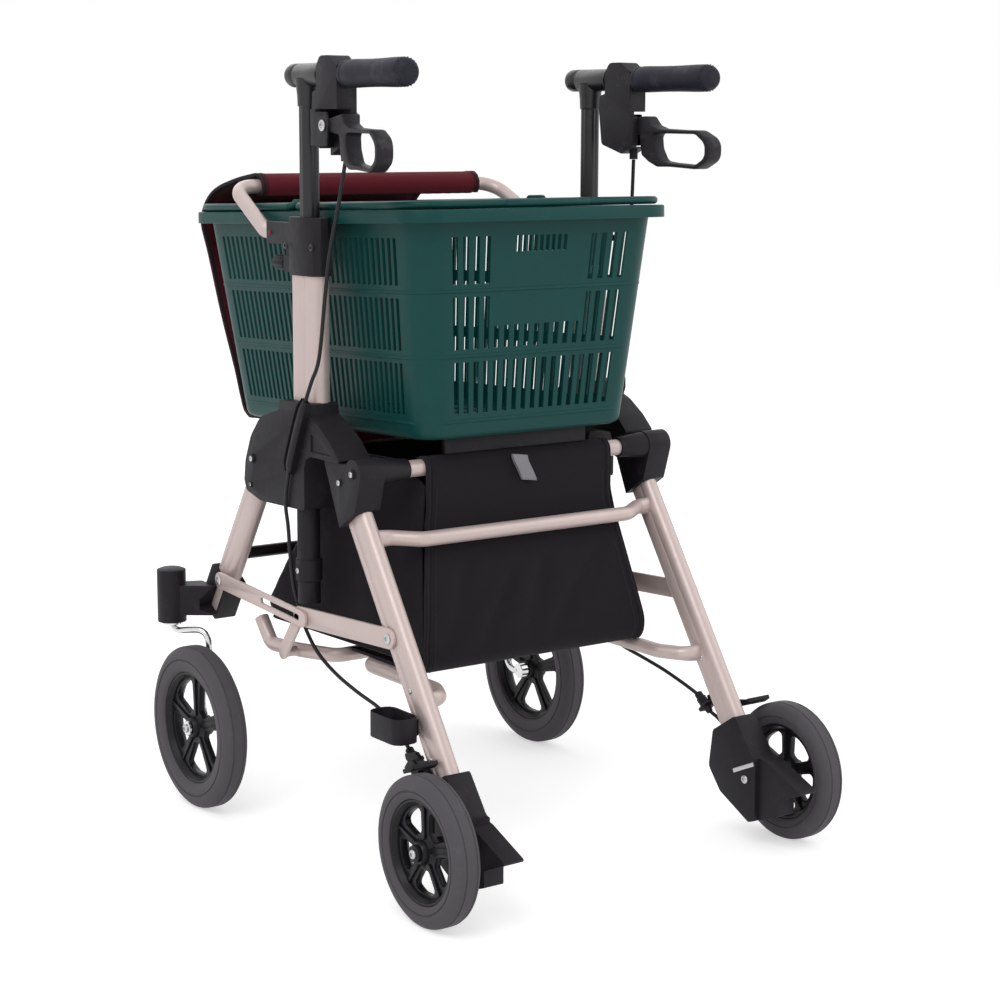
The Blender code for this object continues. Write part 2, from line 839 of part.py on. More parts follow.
def bail(end):
    start = end * bail_pivot_y
    half = [(ear_inner, start, bail_height), (bail_half_x, start, bail_height),
            (bail_half_x, end * bail_half_y, bail_height)]
    route = half + [(-x, y, z) for x, y, z in reversed(half)]
    path = bent(route, [0.005, 0.045, 0.045, 0.005])
    shape = swept(path, circle(bail_radius, 8), (0, 0, 1))
    shape.data.transform(basket_turn)
    return shape


place("basket", basket(), "green")
place("front_bail", bail(1), "green")
place("rear_bail", bail(-1), "green", 1, basket_turn @ Vector((0, -bail_pivot_y, bail_height)))


# Handles and brakes, turned outward a little about each post

toe = Matrix.Translation((post_x, post_y, 0)) @ Matrix.Rotation(toe_out, 4, "Z")
toe = toe @ Matrix.Translation((-post_x, -post_y, 0))


def toed(shape):
    shape.data.transform(toe)
    return shape


def handle_post():
    post = rod("z", (post_x, post_y, 0), inner_post_radius, inner_post_bottom, handle_height)
    fitting = turned([(0, fitting_front), (0.009, fitting_front), (fitting_radius, fitting_front - 0.005),
                      (fitting_radius, 0.030), (handle_radius, 0.030),
                      (handle_radius, grip_end + 0.012), (0, grip_end + 0.012)],
                     "y", (post_x, 0, handle_height), 16)
    gusset = turned([(0.0125, handle_height - 0.034), (0.015, handle_height - 0.004)],
                    "z", (post_x, post_y, 0), 16)
    return toed(joined(post, fitting, gusset))


def grip():
    profile = [(0.0145, grip_front), (grip_radius, grip_front - 0.012),
               (grip_radius, grip_end + 0.030), (grip_radius - 0.0004, grip_end + 0.010),
               (grip_radius - 0.004, grip_end + 0.002), (0.006, grip_end), (0, grip_end)]
    centre = (post_x, 0, handle_height)
    hollow = rod("y", centre, handle_radius + touch, grip_end + 0.012 - touch, grip_front + 0.01)
    return toed(cut(turned(profile, "y", centre, 20), hollow))


def below_grip(points):
    return [(y, handle_height - drop) for y, drop in points]


housing_low = handle_height - 0.0895


def brake_housing():
    outline = rounded(below_grip([
        (0.027, -0.009), (0.019, -0.02), (-0.002, -0.02), (-0.0125, -0.0125), (-0.0185, -0.009),
        (-0.0185, 0.0415), (-0.0250, 0.0435), (-0.0250, 0.0775), (-0.0050, 0.087), (0.0320, 0.076),
        (0.0375, 0.0345), (0.0360, 0.0185), (0.0270, 0.0165),
    ]), [0.006, 0.008, 0.008, 0.002, 0.003, 0.002, 0.002, 0.004, 0.002, 0.005, 0.006, 0.003, 0])
    shape = extruded(outline, "x", housing_inner, housing_outer)
    barrel = rod("z", (post_x, -0.0135, 0), 0.0048, handle_height - 0.0933, handle_height - 0.0795, 12)
    shape = joined(shape, barrel)
    bore = rod("y", (post_x, 0, handle_height), handle_radius + touch, -0.1, 0.0295)
    wide = rod("y", (post_x, 0, handle_height), fitting_radius + touch, 0.030 - touch, 0.1)
    slot = block((lever_inner - swing_play, -0.06, housing_low - 0.01),
                 (lever_outer + 0.02, 0.0195, handle_height - 0.0375))
    keep = block((lever_inner - swing_play - 0.01, -0.06, housing_low - 0.01),
                 (housing_outer + 0.01, -0.0040, handle_height - 0.0785))
    slot = cut(slot, keep)
    post_space = rod("z", (post_x, post_y, 0), inner_post_radius + 0.004, housing_low - 0.02, handle_height)
    shape = cut(shape, bore, wide, slot, post_space)
    cover = extruded(rounded(below_grip([(0.0200, 0.0405), (-0.0060, 0.0405), (-0.0085, 0.0535), (-0.0060, 0.0775),
                              (0.0200, 0.0775)]), 0.002), "x", lever_outer + swing_play,
                     lever_outer + swing_play + 0.002)
    web = block((lever_inner, 0.0190, handle_height - 0.0765),
                (lever_outer + swing_play + 0.002, 0.0300, handle_height - 0.0375))
    pin = rod("x", (0, *lever_pivot), 0.003, lever_inner - 0.004, lever_outer + swing_play + 0.003, 10)
    head = rod("x", (0, *lever_pivot), 0.005, lever_outer + swing_play + 0.001,
               lever_outer + swing_play + 0.0035, 12)
    return toed(joined(shape, cover, web, pin, head))


lever_outline = below_grip([
    (0.0095, 0.0495), (-0.0350, 0.0423), (-0.0420, 0.0500), (-0.0520, 0.0553), (-0.0800, 0.0584),
    (-0.1140, 0.0588), (-0.1272, 0.0645), (-0.1340, 0.0760), (-0.1338, 0.0870), (-0.1265, 0.0985),
    (-0.1140, 0.1039), (-0.0740, 0.1012), (-0.0540, 0.1020), (-0.0430, 0.0970), (-0.0300, 0.0885),
    (-0.0270, 0.0645), (0.0095, 0.0605),
])
lever_hole = below_grip([
    (-0.0480, 0.0657), (-0.1085, 0.0658), (-0.1175, 0.0705), (-0.1215, 0.0790), (-0.1212, 0.0868),
    (-0.1165, 0.0940), (-0.1090, 0.0978), (-0.0680, 0.0955), (-0.0585, 0.0935), (-0.0510, 0.0825),
])


def brake_lever():
    loop = extruded(rounded(lever_outline, 0.003, 2), "x", lever_inner, lever_outer)
    hole = extruded(rounded(lever_hole, 0.003, 2), "x", 0.1, 0.3)
    bore = rod("x", (0, *lever_pivot), 0.003 + pin_play, 0.1, 0.3, 10)
    lever = cut(loop, hole, bore)
    body = bmesh.new()
    body.from_mesh(lever.data)
    bmesh.ops.bisect_plane(body, geom=body.verts[:] + body.edges[:] + body.faces[:],
                           plane_co=(0, lever_bend, 0), plane_no=(0, 1, 0))
    for spot in body.verts:
        spot.co.x += lever_flare * max(0, lever_bend - spot.co.y)
    body.to_mesh(lever.data)
    body.free()
    return toed(lever)


for side, label in sides:
    place(label + "handle_post", handle_post(), "black", side, (post_x, post_y, handle_height))
    place(label + "grip", grip(), "black", side)
    place(label + "brake_housing", brake_housing(), "black", side)
    place(label + "brake_lever", brake_lever(), "black", side,
          toe @ Vector(((lever_inner + lever_outer) / 2, *lever_pivot)))


# Wheel feet and brake arms on the rear legs

boot_start = 0.3080
boot_half = leg_depth / 2 + 0.004
foot_pin_radius = 0.003
tab_middle = (-0.158, 0.1455)
tab_way = (-0.7844, -0.6203)
tab_across = (-0.6203, 0.7844)
tab_x = 0.2065


def wheel_foot():
    outline = [rear_spot(boot_start, boot_half), (-0.187, 0.082), (-0.208, 0.056), (-0.258, 0.031),
               (-0.301, 0.0475), (-0.301, 0.066), (-0.3395, 0.083), (-0.281, 0.107),
               (-0.262, 0.110), rear_spot(boot_start, -boot_half)]
    radii = [0.004, 0.010, 0.010, 0.004, 0.002, 0.002, 0.002, 0.004, 0.008, 0.004]
    shape = extruded(rounded(outline, radii), "x", foot_inner, foot_outer)
    thin = block((foot_inner - 0.01, -0.36, 0.02), (foot_inner + 0.006, -0.268, 0.13))
    shape = cut(shape, thin)
    lug = extruded(rounded([rear_spot(boot_start - 0.002, 0.004), (-0.172, 0.162), (-0.1515, 0.156),
                            (-0.1545, 0.150), (-0.169, 0.143),
                            rear_spot(boot_start + 0.010, boot_half - 0.002)], 0.002, 2),
                   "x", leg_outer + touch, foot_outer)
    boss = rod("x", (0, *rear_axle), 0.012, foot_outer - 0.004, wheel_x - hub_width / 2 - 0.0006)
    axle = rod("x", (0, *rear_axle), bore_radius - pin_play, foot_outer, wheel_x + hub_width / 2 + 0.001, 14)
    head = rod("x", (0, *rear_axle), 0.009, wheel_x + hub_width / 2 + 0.0005,
               wheel_x + hub_width / 2 + 0.004, 12)
    pin = rod("x", (0, *brake_pivot), foot_pin_radius, leg_outer + touch + 0.001, arm_outer + 0.0008, 10)
    pin_head = rod("x", (0, *brake_pivot), 0.0055, arm_outer + touch, arm_outer + 0.0022, 10)
    tab_ends = [moved(tab_middle, tab_across, reach) for reach in (-0.0085, 0.0085)]
    tab_outline = [moved(tab_ends[0], tab_way, -0.002), moved(tab_ends[1], tab_way, -0.002),
                   moved(tab_ends[1], tab_way, 0.002), moved(tab_ends[0], tab_way, 0.002)]
    tab = extruded(tab_outline, "x", 0.2005, foot_outer)
    shape = joined(shape, lug, tab, boss, axle, head, pin, pin_head)
    hole = swept([(tab_x, *moved(tab_middle, tab_way, -0.01)), (tab_x, *moved(tab_middle, tab_way, 0.01))],
                 circle(cable_radius + 0.001, 8), (1, 0, 0))
    shape = cut(shape, hole)
    socket = swept([(leg_x, *rear_spot(boot_start - 0.01, 0)),
                    (leg_x, rear_leg_end[0] + rear_down[0] * touch, rear_leg_end[1] + rear_down[1] * touch)],
                   stadium(leg_width + 2 * touch, leg_depth + 2 * touch), (1, 0, 0))
    return cut(shape, socket)


def brake_arm():
    reach = Vector((brake_pivot[0] - rear_axle[0] - 0.034, brake_pivot[1] - rear_axle[1] + 0.004)).normalized()
    low = rear_radius + pad_gap
    side_way = Vector((-reach.y, reach.x))
    foot = Vector(rear_axle) + reach * low
    pad_outline = [foot + side_way * pad_length / 2 + reach * 0.0014, foot, foot - side_way * pad_length / 2
                   + reach * 0.0014, foot - side_way * pad_length / 2 + reach * pad_thickness,
                   foot + side_way * pad_length / 2 + reach * pad_thickness]
    pad = extruded([tuple(p) for p in pad_outline], "x", arm_inner, wheel_x - 0.002)
    top = foot + reach * pad_thickness
    near = tuple(top + side_way * 0.004)
    far = tuple(top - side_way * 0.012)
    plate = rounded([(brake_pivot[0] + 0.007, brake_pivot[1] + 0.004), near, tuple(foot + side_way * 0.006),
                     (brake_pivot[0] - 0.008, brake_pivot[1] - 0.004), (brake_tail[0] - 0.0045, brake_tail[1] - 0.003),
                     (brake_tail[0] + 0.004, brake_tail[1] - 0.004), (brake_pivot[0] + 0.0075, brake_pivot[1] - 0.004)],
                    0.0015, 2)
    arm = extruded(plate, "x", arm_inner, arm_outer)
    return cut(joined(pad, arm), rod("x", (0, *brake_pivot), foot_pin_radius + pin_play, 0.2, 0.25, 10))


for side, label in sides:
    place(label + "wheel_foot", wheel_foot(), "black", side)
    place(label + "brake_arm", brake_arm(), "black", side, (arm_inner, *brake_pivot))


# Front frame: legs, cross bar, caster housings and forks

def front_leg():
    shape = leg_tube(front_spot(-front_leg_head, 0), front_leg_end)
    hole = rod("x", (0, *front_pivot), front_pivot_radius + pin_play, 0.15, 0.25)
    shape = cut(shape, hole)
    out = leg_outer + 3 * touch + 2 * link_thickness
    pin = rod("x", (0, *front_link_pivot), link_pin_radius, leg_outer - 0.008, out, 12)
    spacer = rod("x", (0, *front_link_pivot), 0.0065, leg_outer - 0.002,
                 leg_outer + touch + link_thickness, 12)
    head = rod("x", (0, *front_link_pivot), 0.007, out + touch, out + 0.002, 12)
    pin = joined(pin, spacer, rod("x", (0, *front_link_pivot), link_pin_radius, out - 0.001, out + 0.001, 12))
    return joined(shape, pin, head)


saddle_top = 0.1860
saddle_front = leg_depth / 2 + 0.003
saddle_rear = leg_depth / 2 + 0.002


def caster_housing():
    end = front_leg_length + 0.002
    wrap = rounded([front_spot(saddle_top, saddle_front), front_spot(saddle_top, -saddle_rear),
                    front_spot(end, -saddle_rear), front_spot(end, saddle_front)], 0.003)
    shape = extruded(wrap, "x", leg_inner - 0.0035, leg_outer + link_thickness)
    body = rod("z", (wheel_x, caster_y, 0), caster_radius, caster_bottom, caster_top - 0.002, 20)
    dome = turned([(caster_radius, caster_top - 0.002), (caster_radius - 0.005, caster_top)],
                  "z", (wheel_x, caster_y, 0), 20)
    arm = rounded([(leg_outer + 0.001, 0.2720), (leg_outer + 0.001, 0.3150), (wheel_x, caster_y + 0.014),
                   (wheel_x, caster_y - 0.016)], 0.001, 1)
    arm = extruded(arm, "z", 0.2290, 0.2660)
    shape = joined(shape, body, dome, arm)
    leg_hole = swept([(leg_x, *front_spot(saddle_top - 0.02, 0)),
                      (leg_x, *front_spot(front_leg_length + touch, 0))],
                     stadium(leg_width + 2 * touch, leg_depth + 2 * touch), (1, 0, 0))
    window = extruded([front_spot(saddle_top - 0.01, 0.002), front_spot(saddle_top - 0.01, -0.0165),
                       front_spot(end - 0.006, -0.0165), front_spot(end - 0.006, 0.002)],
                      "x", leg_x, leg_outer + 0.02)
    stem = rod("z", (wheel_x, caster_y, 0), stem_radius + pin_play, caster_bottom - 0.01, 0.272, 14)
    return cut(shape, leg_hole, window, stem)


def caster_fork():
    low = caster_bottom - touch
    route = [(wheel_x, caster_y, low - 0.001), (wheel_x, caster_y - 0.003, low - 0.0065),
             (wheel_x - 0.001, 0.302, low - 0.0090), (0.246, 0.287, 0.2125), (0.238, 0.2745, 0.2130),
             (0.2330, 0.2670, 0.2060), (fork_x, 0.2640, 0.1880), (fork_x, 0.2745, 0.1500),
             (fork_x, 0.2830, 0.1240), (fork_x, 0.2780, 0.1040), (fork_x, 0.2640, 0.0970),
             (fork_x, front_axle[0] + 0.004, front_axle[1])]
    path = flowing(route, 0.012)
    shape = swept(path, circle(fork_radius, 8), (1, 0, 0))
    stem = turned([(stem_radius, 0.2705), (stem_radius, low), (0.0125, low), (0.0125, low - 0.003),
                   (0.0055, low - 0.0045)], "z", (wheel_x, caster_y, 0), 16)
    eye = rod("x", (0, *front_axle), 0.0095, fork_x - 0.0035, wheel_x - hub_width / 2 - 0.0006, 16)
    axle = rod("x", (0, *front_axle), bore_radius - pin_play, fork_x, wheel_x + hub_width / 2 + 0.001, 14)
    head = rod("x", (0, *front_axle), 0.009, wheel_x + hub_width / 2 + 0.0005,
               wheel_x + hub_width / 2 + 0.004, 12)
    return joined(shape, stem, eye, axle, head)


for side, label in sides:
    place(label + "front_leg", front_leg(), "silver", side, (leg_x, *front_pivot))
    place(label + "caster_housing", caster_housing(), "black", side)
    place(label + "caster_fork", caster_fork(), "chrome", side, (wheel_x, caster_y, caster_bottom))
place("front_cross_bar", rod("x", (0, *front_cross), front_cross_radius, -leg_face, leg_face, 14), "black")


# Folding brace outside the legs, with the pull bar that lifts or lowers it

rear_layer = leg_outer + touch
front_layer = rear_layer + link_thickness + touch


def bar_between(start, end, half, low, high):
    start, end = Vector(start), Vector(end)
    turn = math.degrees(math.atan2(end.y - start.y, end.x - start.x))
    outline = arc(end, half, turn - 90, turn + 90, 6) + arc(start, half, turn + 90, turn + 270, 6)
    return extruded(outline, "x", low, high)


def front_link():
    tip = Vector(middle_pivot) + (Vector(middle_pivot) - Vector(front_link_pivot)).normalized() * 0.012
    shape = bar_between(front_link_pivot, tip, front_link_half, front_layer, front_layer + link_thickness)
    hole = rod("x", (0, *front_link_pivot), link_pin_radius + pin_play, 0.2, 0.25, 12)
    ahead = (Vector(front_link_pivot) - Vector(middle_pivot)).normalized()
    slot = bar_between(Vector(middle_pivot) - ahead * 0.004, Vector(middle_pivot) + ahead * 0.078,
                       0.0035, 0.2, 0.25)
    return cut(shape, hole, slot)


pull_side = (0.112, 0.2148)
pull_end = (0.189, 0.2406)


def rear_link_frame():
    parts = []
    for side in (-1, 1):
        low, high = sorted((side * rear_layer, side * (rear_layer + link_thickness)))
        link = bar_between(rear_link_pivot, middle_pivot, rear_link_half, low, high)
        parts.append(cut(link, rod("x", (0, *rear_link_pivot), link_pin_radius + pin_play, -0.25, 0.25, 12)))
        parts.append(bar_between(middle_pivot, pull_side, 0.0080, low, high))
        low, high = sorted((side * 0.190, side * (rear_layer + 0.001)))
        parts.append(rod("x", (0, *pull_side), 0.0060, low, high, 12))
    route = [(0.2000, *pull_end), (0.1995, 0.166, 0.2130), (0.1960, 0.130, 0.2140),
             (0.1900, pull_side[0] - 0.006, pull_side[1]), (0.1700, 0.066, 0.2140)]
    whole = route + [(-x, y, z) for x, y, z in reversed(route)]
    bar = swept(bent(whole, 0.016, 3), circle(pull_radius, 8), (0, 0, 1))
    return joined(bar, *parts)


for side, label in sides:
    place(label + "front_link", front_link(), "silver", side, (front_layer, *front_link_pivot))
place("rear_link_frame", rear_link_frame(), "silver", 1, (0, *rear_link_pivot))


# Bag under the basket, its pull tab and the cup for a walking stick

def bag_base():
    loop = bar_radius + cloth_play + cloth / 2
    path = arc(rear_bar, loop, -50, 180, 9)
    above = rear_bar[1] - 0.3725
    path += [(-0.0648, 0.3725 + above * 0.6283), (-0.0650, 0.3725 + above * 0.1653), (-0.0694, 0.3725), (-0.0860, 0.3050),
             (-0.0985, 0.2520), (-0.0975, 0.2320), (-0.0900, bag_floor + cloth / 2),
             (0.0540, bag_floor + cloth / 2)]
    halves = []
    for y, z in path:
        share = min(1, max(0, (0.400 - z) / 0.150))
        halves.append(bag_half_top + (bag_half_bottom - bag_half_top) * share)
    return strip(path, halves, cloth)


def bag_skirt():
    bend = (0.3690 + bag_top - 0.018) / 2
    levels = ((0.2330, -0.0930, 0.2240, 0.1560, 0.1690), (0.2520, -0.0955, 0.2320, 0.1560, 0.1710),
              (0.3100, -0.0815, 0.1890, 0.1480, 0.1680), (0.3690, -0.0665, 0.1460, 0.1390, 0.1620),
              (bend, -0.0625, 0.1420, 0.1340, 0.1580), (bag_top - 0.018, -0.0618, 0.1390, 0.1310, 0.1520),
              (bag_top - 0.014, -0.0400, 0.1385, 0.1310, 0.1515), (bag_top, -0.0370, 0.1370, 0.1300, 0.1500))
    points = []
    faces = []
    for z, rear, front, half_rear, half_front in levels:
        loop = [(half_rear, rear), (half_front, front - 0.022), (half_front - 0.018, front)]
        inner = [(half_rear - cloth, rear), (half_front - cloth, front - 0.022),
                 (half_front - 0.018 - cloth / 2, front - cloth)]
        ring = loop + [(-x, y) for x, y in reversed(loop)]
        ring += [(-x, y) for x, y in inner] + [(x, y) for x, y in reversed(inner)]
        points += [(x, y, z) for x, y in ring]
    size = len(points) // len(levels)
    faces = [list(range(size)), [len(points) - size + i for i in range(size)]]
    for k in range(len(levels) - 1):
        for i in range(size):
            after = (i + 1) % size
            faces.append([k * size + i, k * size + after, (k + 1) * size + after, (k + 1) * size + i])
    walls = made(points, faces)
    floor = block((-0.160, 0.0565, 0.2312), (0.160, 0.2225, 0.2312 + cloth))
    return joined(walls, floor)


def pull_tab():
    top, low = rear_bar[1] + 0.0069, rear_bar[1] - 0.0251
    outline = rounded([(0.021, top), (-0.016, top), (-0.016, low), (0.021, low)], 0.004, 3)
    return extruded(outline, "y", -0.0705, -0.0665)


cup_low = (0.2180, -0.1850, 0.1760)
cup_high = (0.2500, -0.1250, 0.2040)


def cane_cup():
    centre_x = (cup_low[0] + cup_high[0]) / 2
    centre_y = (cup_low[1] + cup_high[1]) / 2
    half_x = (cup_high[0] - cup_low[0]) / 2
    half_y = (cup_high[1] - cup_low[1]) / 2

    def ring(inset, radius):
        return [(centre_x + x, centre_y + y) for x, y in rounded_box(half_x - inset, half_y - inset, radius)]

    shape = extruded(ring(0, 0.012), "z", cup_low[2], cup_high[2])
    clip = block((leg_outer + touch, -0.172, 0.180), (cup_low[0] + 0.004, -0.158, 0.198))
    shape = joined(shape, clip)
    return cut(shape, extruded(ring(0.002, 0.010), "z", cup_low[2] + 0.003, cup_high[2] + 0.01))


place("bag_base", bag_base(), "nylon")
place("bag_skirt", bag_skirt(), "nylon")
place("pull_tab", pull_tab(), "grey")
place("cane_cup", cane_cup(), "black", -1)


# Brake cables, each from its housing down the side to the foot of the rear leg

def brake_cable(name, side):
    top = toe @ Vector((post_x, -0.0135, handle_height - 0.0940))
    fall = handle_height - 0.570
    route = [top, (0.2060, -0.0060, 0.570 + fall * 0.5493), (0.2110, 0.0040, 0.570 + fall * 0.3877),
             (0.2140, 0.0110, 0.570 + fall * 0.2262), (0.2165, 0.0210, 0.570), (0.2225, 0.0285, 0.542), (0.2266, 0.0360, 0.518),
             (0.2272, 0.0500, 0.488), (0.2272, 0.0660, 0.452), (0.2270, 0.0780, 0.418),
             (0.2262, 0.0825, 0.394), (0.2225, 0.0840, 0.370), (0.2195, 0.0845, 0.330),
             (0.2150, 0.0860, 0.300), (0.2085, 0.0880, 0.278), (0.2020, 0.0840, 0.250),
             (0.1960, 0.0660, 0.222), (0.1940, 0.0300, 0.204), (0.1935, -0.0150, 0.192),
             (0.1940, -0.0600, 0.184), (0.1975, -0.1000, 0.174),
             (tab_x, *moved(tab_middle, tab_way, -0.014)), (tab_x, *moved(tab_middle, tab_way, 0.007)),
             (0.2115, -0.1720, 0.1340), (0.2160, -0.1830, 0.1240)]
    path = flowing(route, 0.015)
    curve = bpy.data.curves.new(name, "CURVE")
    curve.dimensions = "3D"
    curve.bevel_depth = cable_radius
    curve.bevel_resolution = 1
    curve.use_fill_caps = True
    spline = curve.splines.new("POLY")
    spline.points.add(len(path) - 1)
    for point, spot in zip(spline.points, path):
        point.co = (spot[0] * side, spot[1], spot[2], 1)
    cable = bpy.data.objects.new(name, curve)
    bpy.context.collection.objects.link(cable)
    cable.parent = chassis
    curve.materials.append(finish("black", name))


for side, label in sides:
    brake_cable(label + "brake_cable", side)

bpy.context.view_layer.update()
reach = [(piece.matrix_world @ Vector(spot)).y for piece in chassis.children for spot in piece.bound_box]
chassis.location.y = -(min(reach) + max(reach)) / 2
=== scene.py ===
# Shopping rollator: the finish of every surface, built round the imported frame.

import json
import math

import bmesh
import bpy
from mathutils import Matrix, Vector


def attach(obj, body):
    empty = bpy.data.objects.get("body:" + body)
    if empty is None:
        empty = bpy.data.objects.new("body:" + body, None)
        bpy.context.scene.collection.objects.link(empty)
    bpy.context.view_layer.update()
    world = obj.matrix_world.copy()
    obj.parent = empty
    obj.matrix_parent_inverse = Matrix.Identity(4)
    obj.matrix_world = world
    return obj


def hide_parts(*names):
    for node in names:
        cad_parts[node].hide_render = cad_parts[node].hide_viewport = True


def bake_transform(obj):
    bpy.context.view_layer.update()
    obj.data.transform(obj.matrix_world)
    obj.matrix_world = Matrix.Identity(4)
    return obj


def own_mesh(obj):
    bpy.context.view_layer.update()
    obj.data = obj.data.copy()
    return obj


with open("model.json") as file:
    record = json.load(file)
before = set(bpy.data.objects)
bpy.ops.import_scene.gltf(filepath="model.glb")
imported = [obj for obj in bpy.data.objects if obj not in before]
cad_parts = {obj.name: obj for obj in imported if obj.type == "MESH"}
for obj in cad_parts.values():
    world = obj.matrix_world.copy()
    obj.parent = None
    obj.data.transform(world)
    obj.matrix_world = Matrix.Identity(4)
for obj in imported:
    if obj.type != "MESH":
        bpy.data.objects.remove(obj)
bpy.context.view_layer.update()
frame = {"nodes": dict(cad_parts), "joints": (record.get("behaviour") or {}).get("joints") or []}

places = {joint["name"]: Vector(joint["pos_m"]) for joint in frame["joints"] if "pos_m" in joint}
sides = (-1, 1)
labels = {-1: "left_", 0: "", 1: "right_"}

# Lengths along Y below are counted from the middle between the axles. Every new mesh is then moved by this.
middleY = (places["left_front_wheel_spin"].y + places["left_rear_wheel_spin"].y) / 2
toPart = Matrix.Translation((0, middleY, 0))


# Node trees

def addNode(tree, kind, inputs=None, **settings):    # an input takes a value or another node's output
    node = tree.nodes.new(kind)
    for name, value in settings.items():
        setattr(node, name, value)
    for name, value in (inputs or {}).items():
        if isinstance(value, bpy.types.NodeSocket):
            tree.links.new(value, node.inputs[name])
        else:
            node.inputs[name].default_value = value
    return node


def maths(tree, operation, one, two=None):
    values = {0: one} if two is None else {0: one, 1: two}
    return addNode(tree, "ShaderNodeMath", values, operation=operation).outputs[0]


def linkInto(tree, inputs, **sources):
    for name, source in sources.items():
        tree.links.new(source, inputs[name])


def nodeGroup(kind, name, inputs, outputs):    # inputs: label to type and first value, outputs: label to type
    tree = bpy.data.node_groups.new(name, kind + "NodeTree")
    for label, (socketType, value) in inputs.items():
        socket = tree.interface.new_socket(label, in_out="INPUT", socket_type="NodeSocket" + socketType)
        if value is not None:
            socket.default_value = value
    for label, socketType in outputs.items():
        tree.interface.new_socket(label, in_out="OUTPUT", socket_type="NodeSocket" + socketType)
    return tree, tree.nodes.new("NodeGroupInput").outputs, tree.nodes.new("NodeGroupOutput").inputs


# Camera and light

photoView = {
    "place": (-1.4608, -2.0571, 0.8244),
    "turn": 35.69,      # degrees from straight ahead towards the right
    "down": 9.74,
    "roll": 0.22,
    "lens": 78.39,
    "sensor": 36.0,
}

studio = {
    "worldLight": 0.62,
    "key": ((-2.2, -1.6, 3.2), 2.4, 44.0),      # place, size and power of each lamp
    "fill": ((2.6, -1.8, 2.2), 3.0, 18.0),
    "back": ((0.6, 3.0, 2.6), 3.0, 18.0),
    "lampAim": (0, 0, 0.4),
    "floorColour": (0.80, 0.80, 0.80),
    "floorGlow": 0.52,
    "floorSize": 14.0,
}


def makeCamera():
    turn, down, roll = (math.radians(photoView[key]) for key in ("turn", "down", "roll"))
    ahead = Vector((math.sin(turn) * math.cos(down), math.cos(turn) * math.cos(down), -math.sin(down)))
    right = Vector((math.cos(turn), -math.sin(turn), 0))
    up = right.cross(ahead)
    across = right * math.cos(roll) + up * math.sin(roll)
    over = up * math.cos(roll) - right * math.sin(roll)
    data = bpy.data.cameras.new("photoCamera")
    data.lens = photoView["lens"]
    data.sensor_width = photoView["sensor"]
    data.clip_end = 60
    camera = bpy.data.objects.new("photoCamera", data)
    bpy.context.scene.collection.objects.link(camera)
    camera.matrix_world = Matrix.Translation(toPart @ Vector(photoView["place"])) @ Matrix(
        (across, over, -ahead)).transposed().to_4x4()
    bpy.context.scene.camera = camera


def makeLamp(name, spot, size, power):
    data = bpy.data.lights.new(name, "AREA")
    data.shape = "DISK"
    data.size = size
    data.energy = power
    lamp = bpy.data.objects.new(name, data)
    bpy.context.scene.collection.objects.link(lamp)
    lamp.location = spot
    lamp.rotation_euler = (Vector(studio["lampAim"]) - Vector(spot)).to_track_quat("-Z", "Y").to_euler()


def seenRays(tree):    # the kinds of ray, and 1 for what the camera or a mirror sees
    rays = tree.nodes.new("ShaderNodeLightPath").outputs
    return rays, maths(tree, "MAXIMUM", rays["Is Camera Ray"], rays["Is Glossy Ray"])


def makeWorld():
    world = bpy.data.worlds.new("studio")
    bpy.context.scene.world = world
    world.use_nodes = True
    tree = world.node_tree
    back = tree.nodes["Background"].inputs
    back["Color"].default_value = (1, 1, 1, 1)
    rays, seen = seenRays(tree)
    seen = maths(tree, "MAXIMUM", seen, rays["Is Transmission Ray"])
    level = addNode(tree, "ShaderNodeMapRange", {"Value": seen, "To Min": studio["worldLight"], "To Max": 1.0})
    linkInto(tree, back, Strength=level.outputs["Result"])


def makeFloor():
    half = studio["floorSize"] / 2
    mesh = bpy.data.meshes.new("floor")
    corners = [(-half, -half, 0), (half, -half, 0), (half, half, 0), (-half, half, 0)]
    mesh.from_pydata(corners, [], [(0, 1, 2, 3)])
    floor = bpy.data.objects.new("floor", mesh)
    bpy.context.scene.collection.objects.link(floor)
    paint = bpy.data.materials.new("floorPaper")
    paint.use_nodes = True
    tree = paint.node_tree
    shader = tree.nodes["Principled BSDF"].inputs
    shader["Roughness"].default_value = 0.9
    shader["Emission Color"].default_value = (1, 1, 1, 1)
    fibre = addNode(tree, "ShaderNodeTexNoise", {"Scale": 90})
    colour, fleck = ([c * share for c in studio["floorColour"]] for share in (1, 0.985))
    tone = addNode(tree, "ShaderNodeMix", {"Factor": fibre.outputs["Fac"], "A": (*colour, 1), "B": (*fleck, 1)},
                   data_type="RGBA")
    glow = maths(tree, "MULTIPLY", seenRays(tree)[1], studio["floorGlow"])
    linkInto(tree, shader, **{"Base Color": tone.outputs["Result"], "Emission Strength": glow})
    mesh.materials.append(paint)


makeCamera()
makeWorld()
makeFloor()
for lamp in ("key", "fill", "back"):
    makeLamp(lamp + "Lamp", *studio[lamp])
bpy.context.scene.view_settings.view_transform = "Standard"
print("camera and studio ready")


# Shader groups shared by the finishes

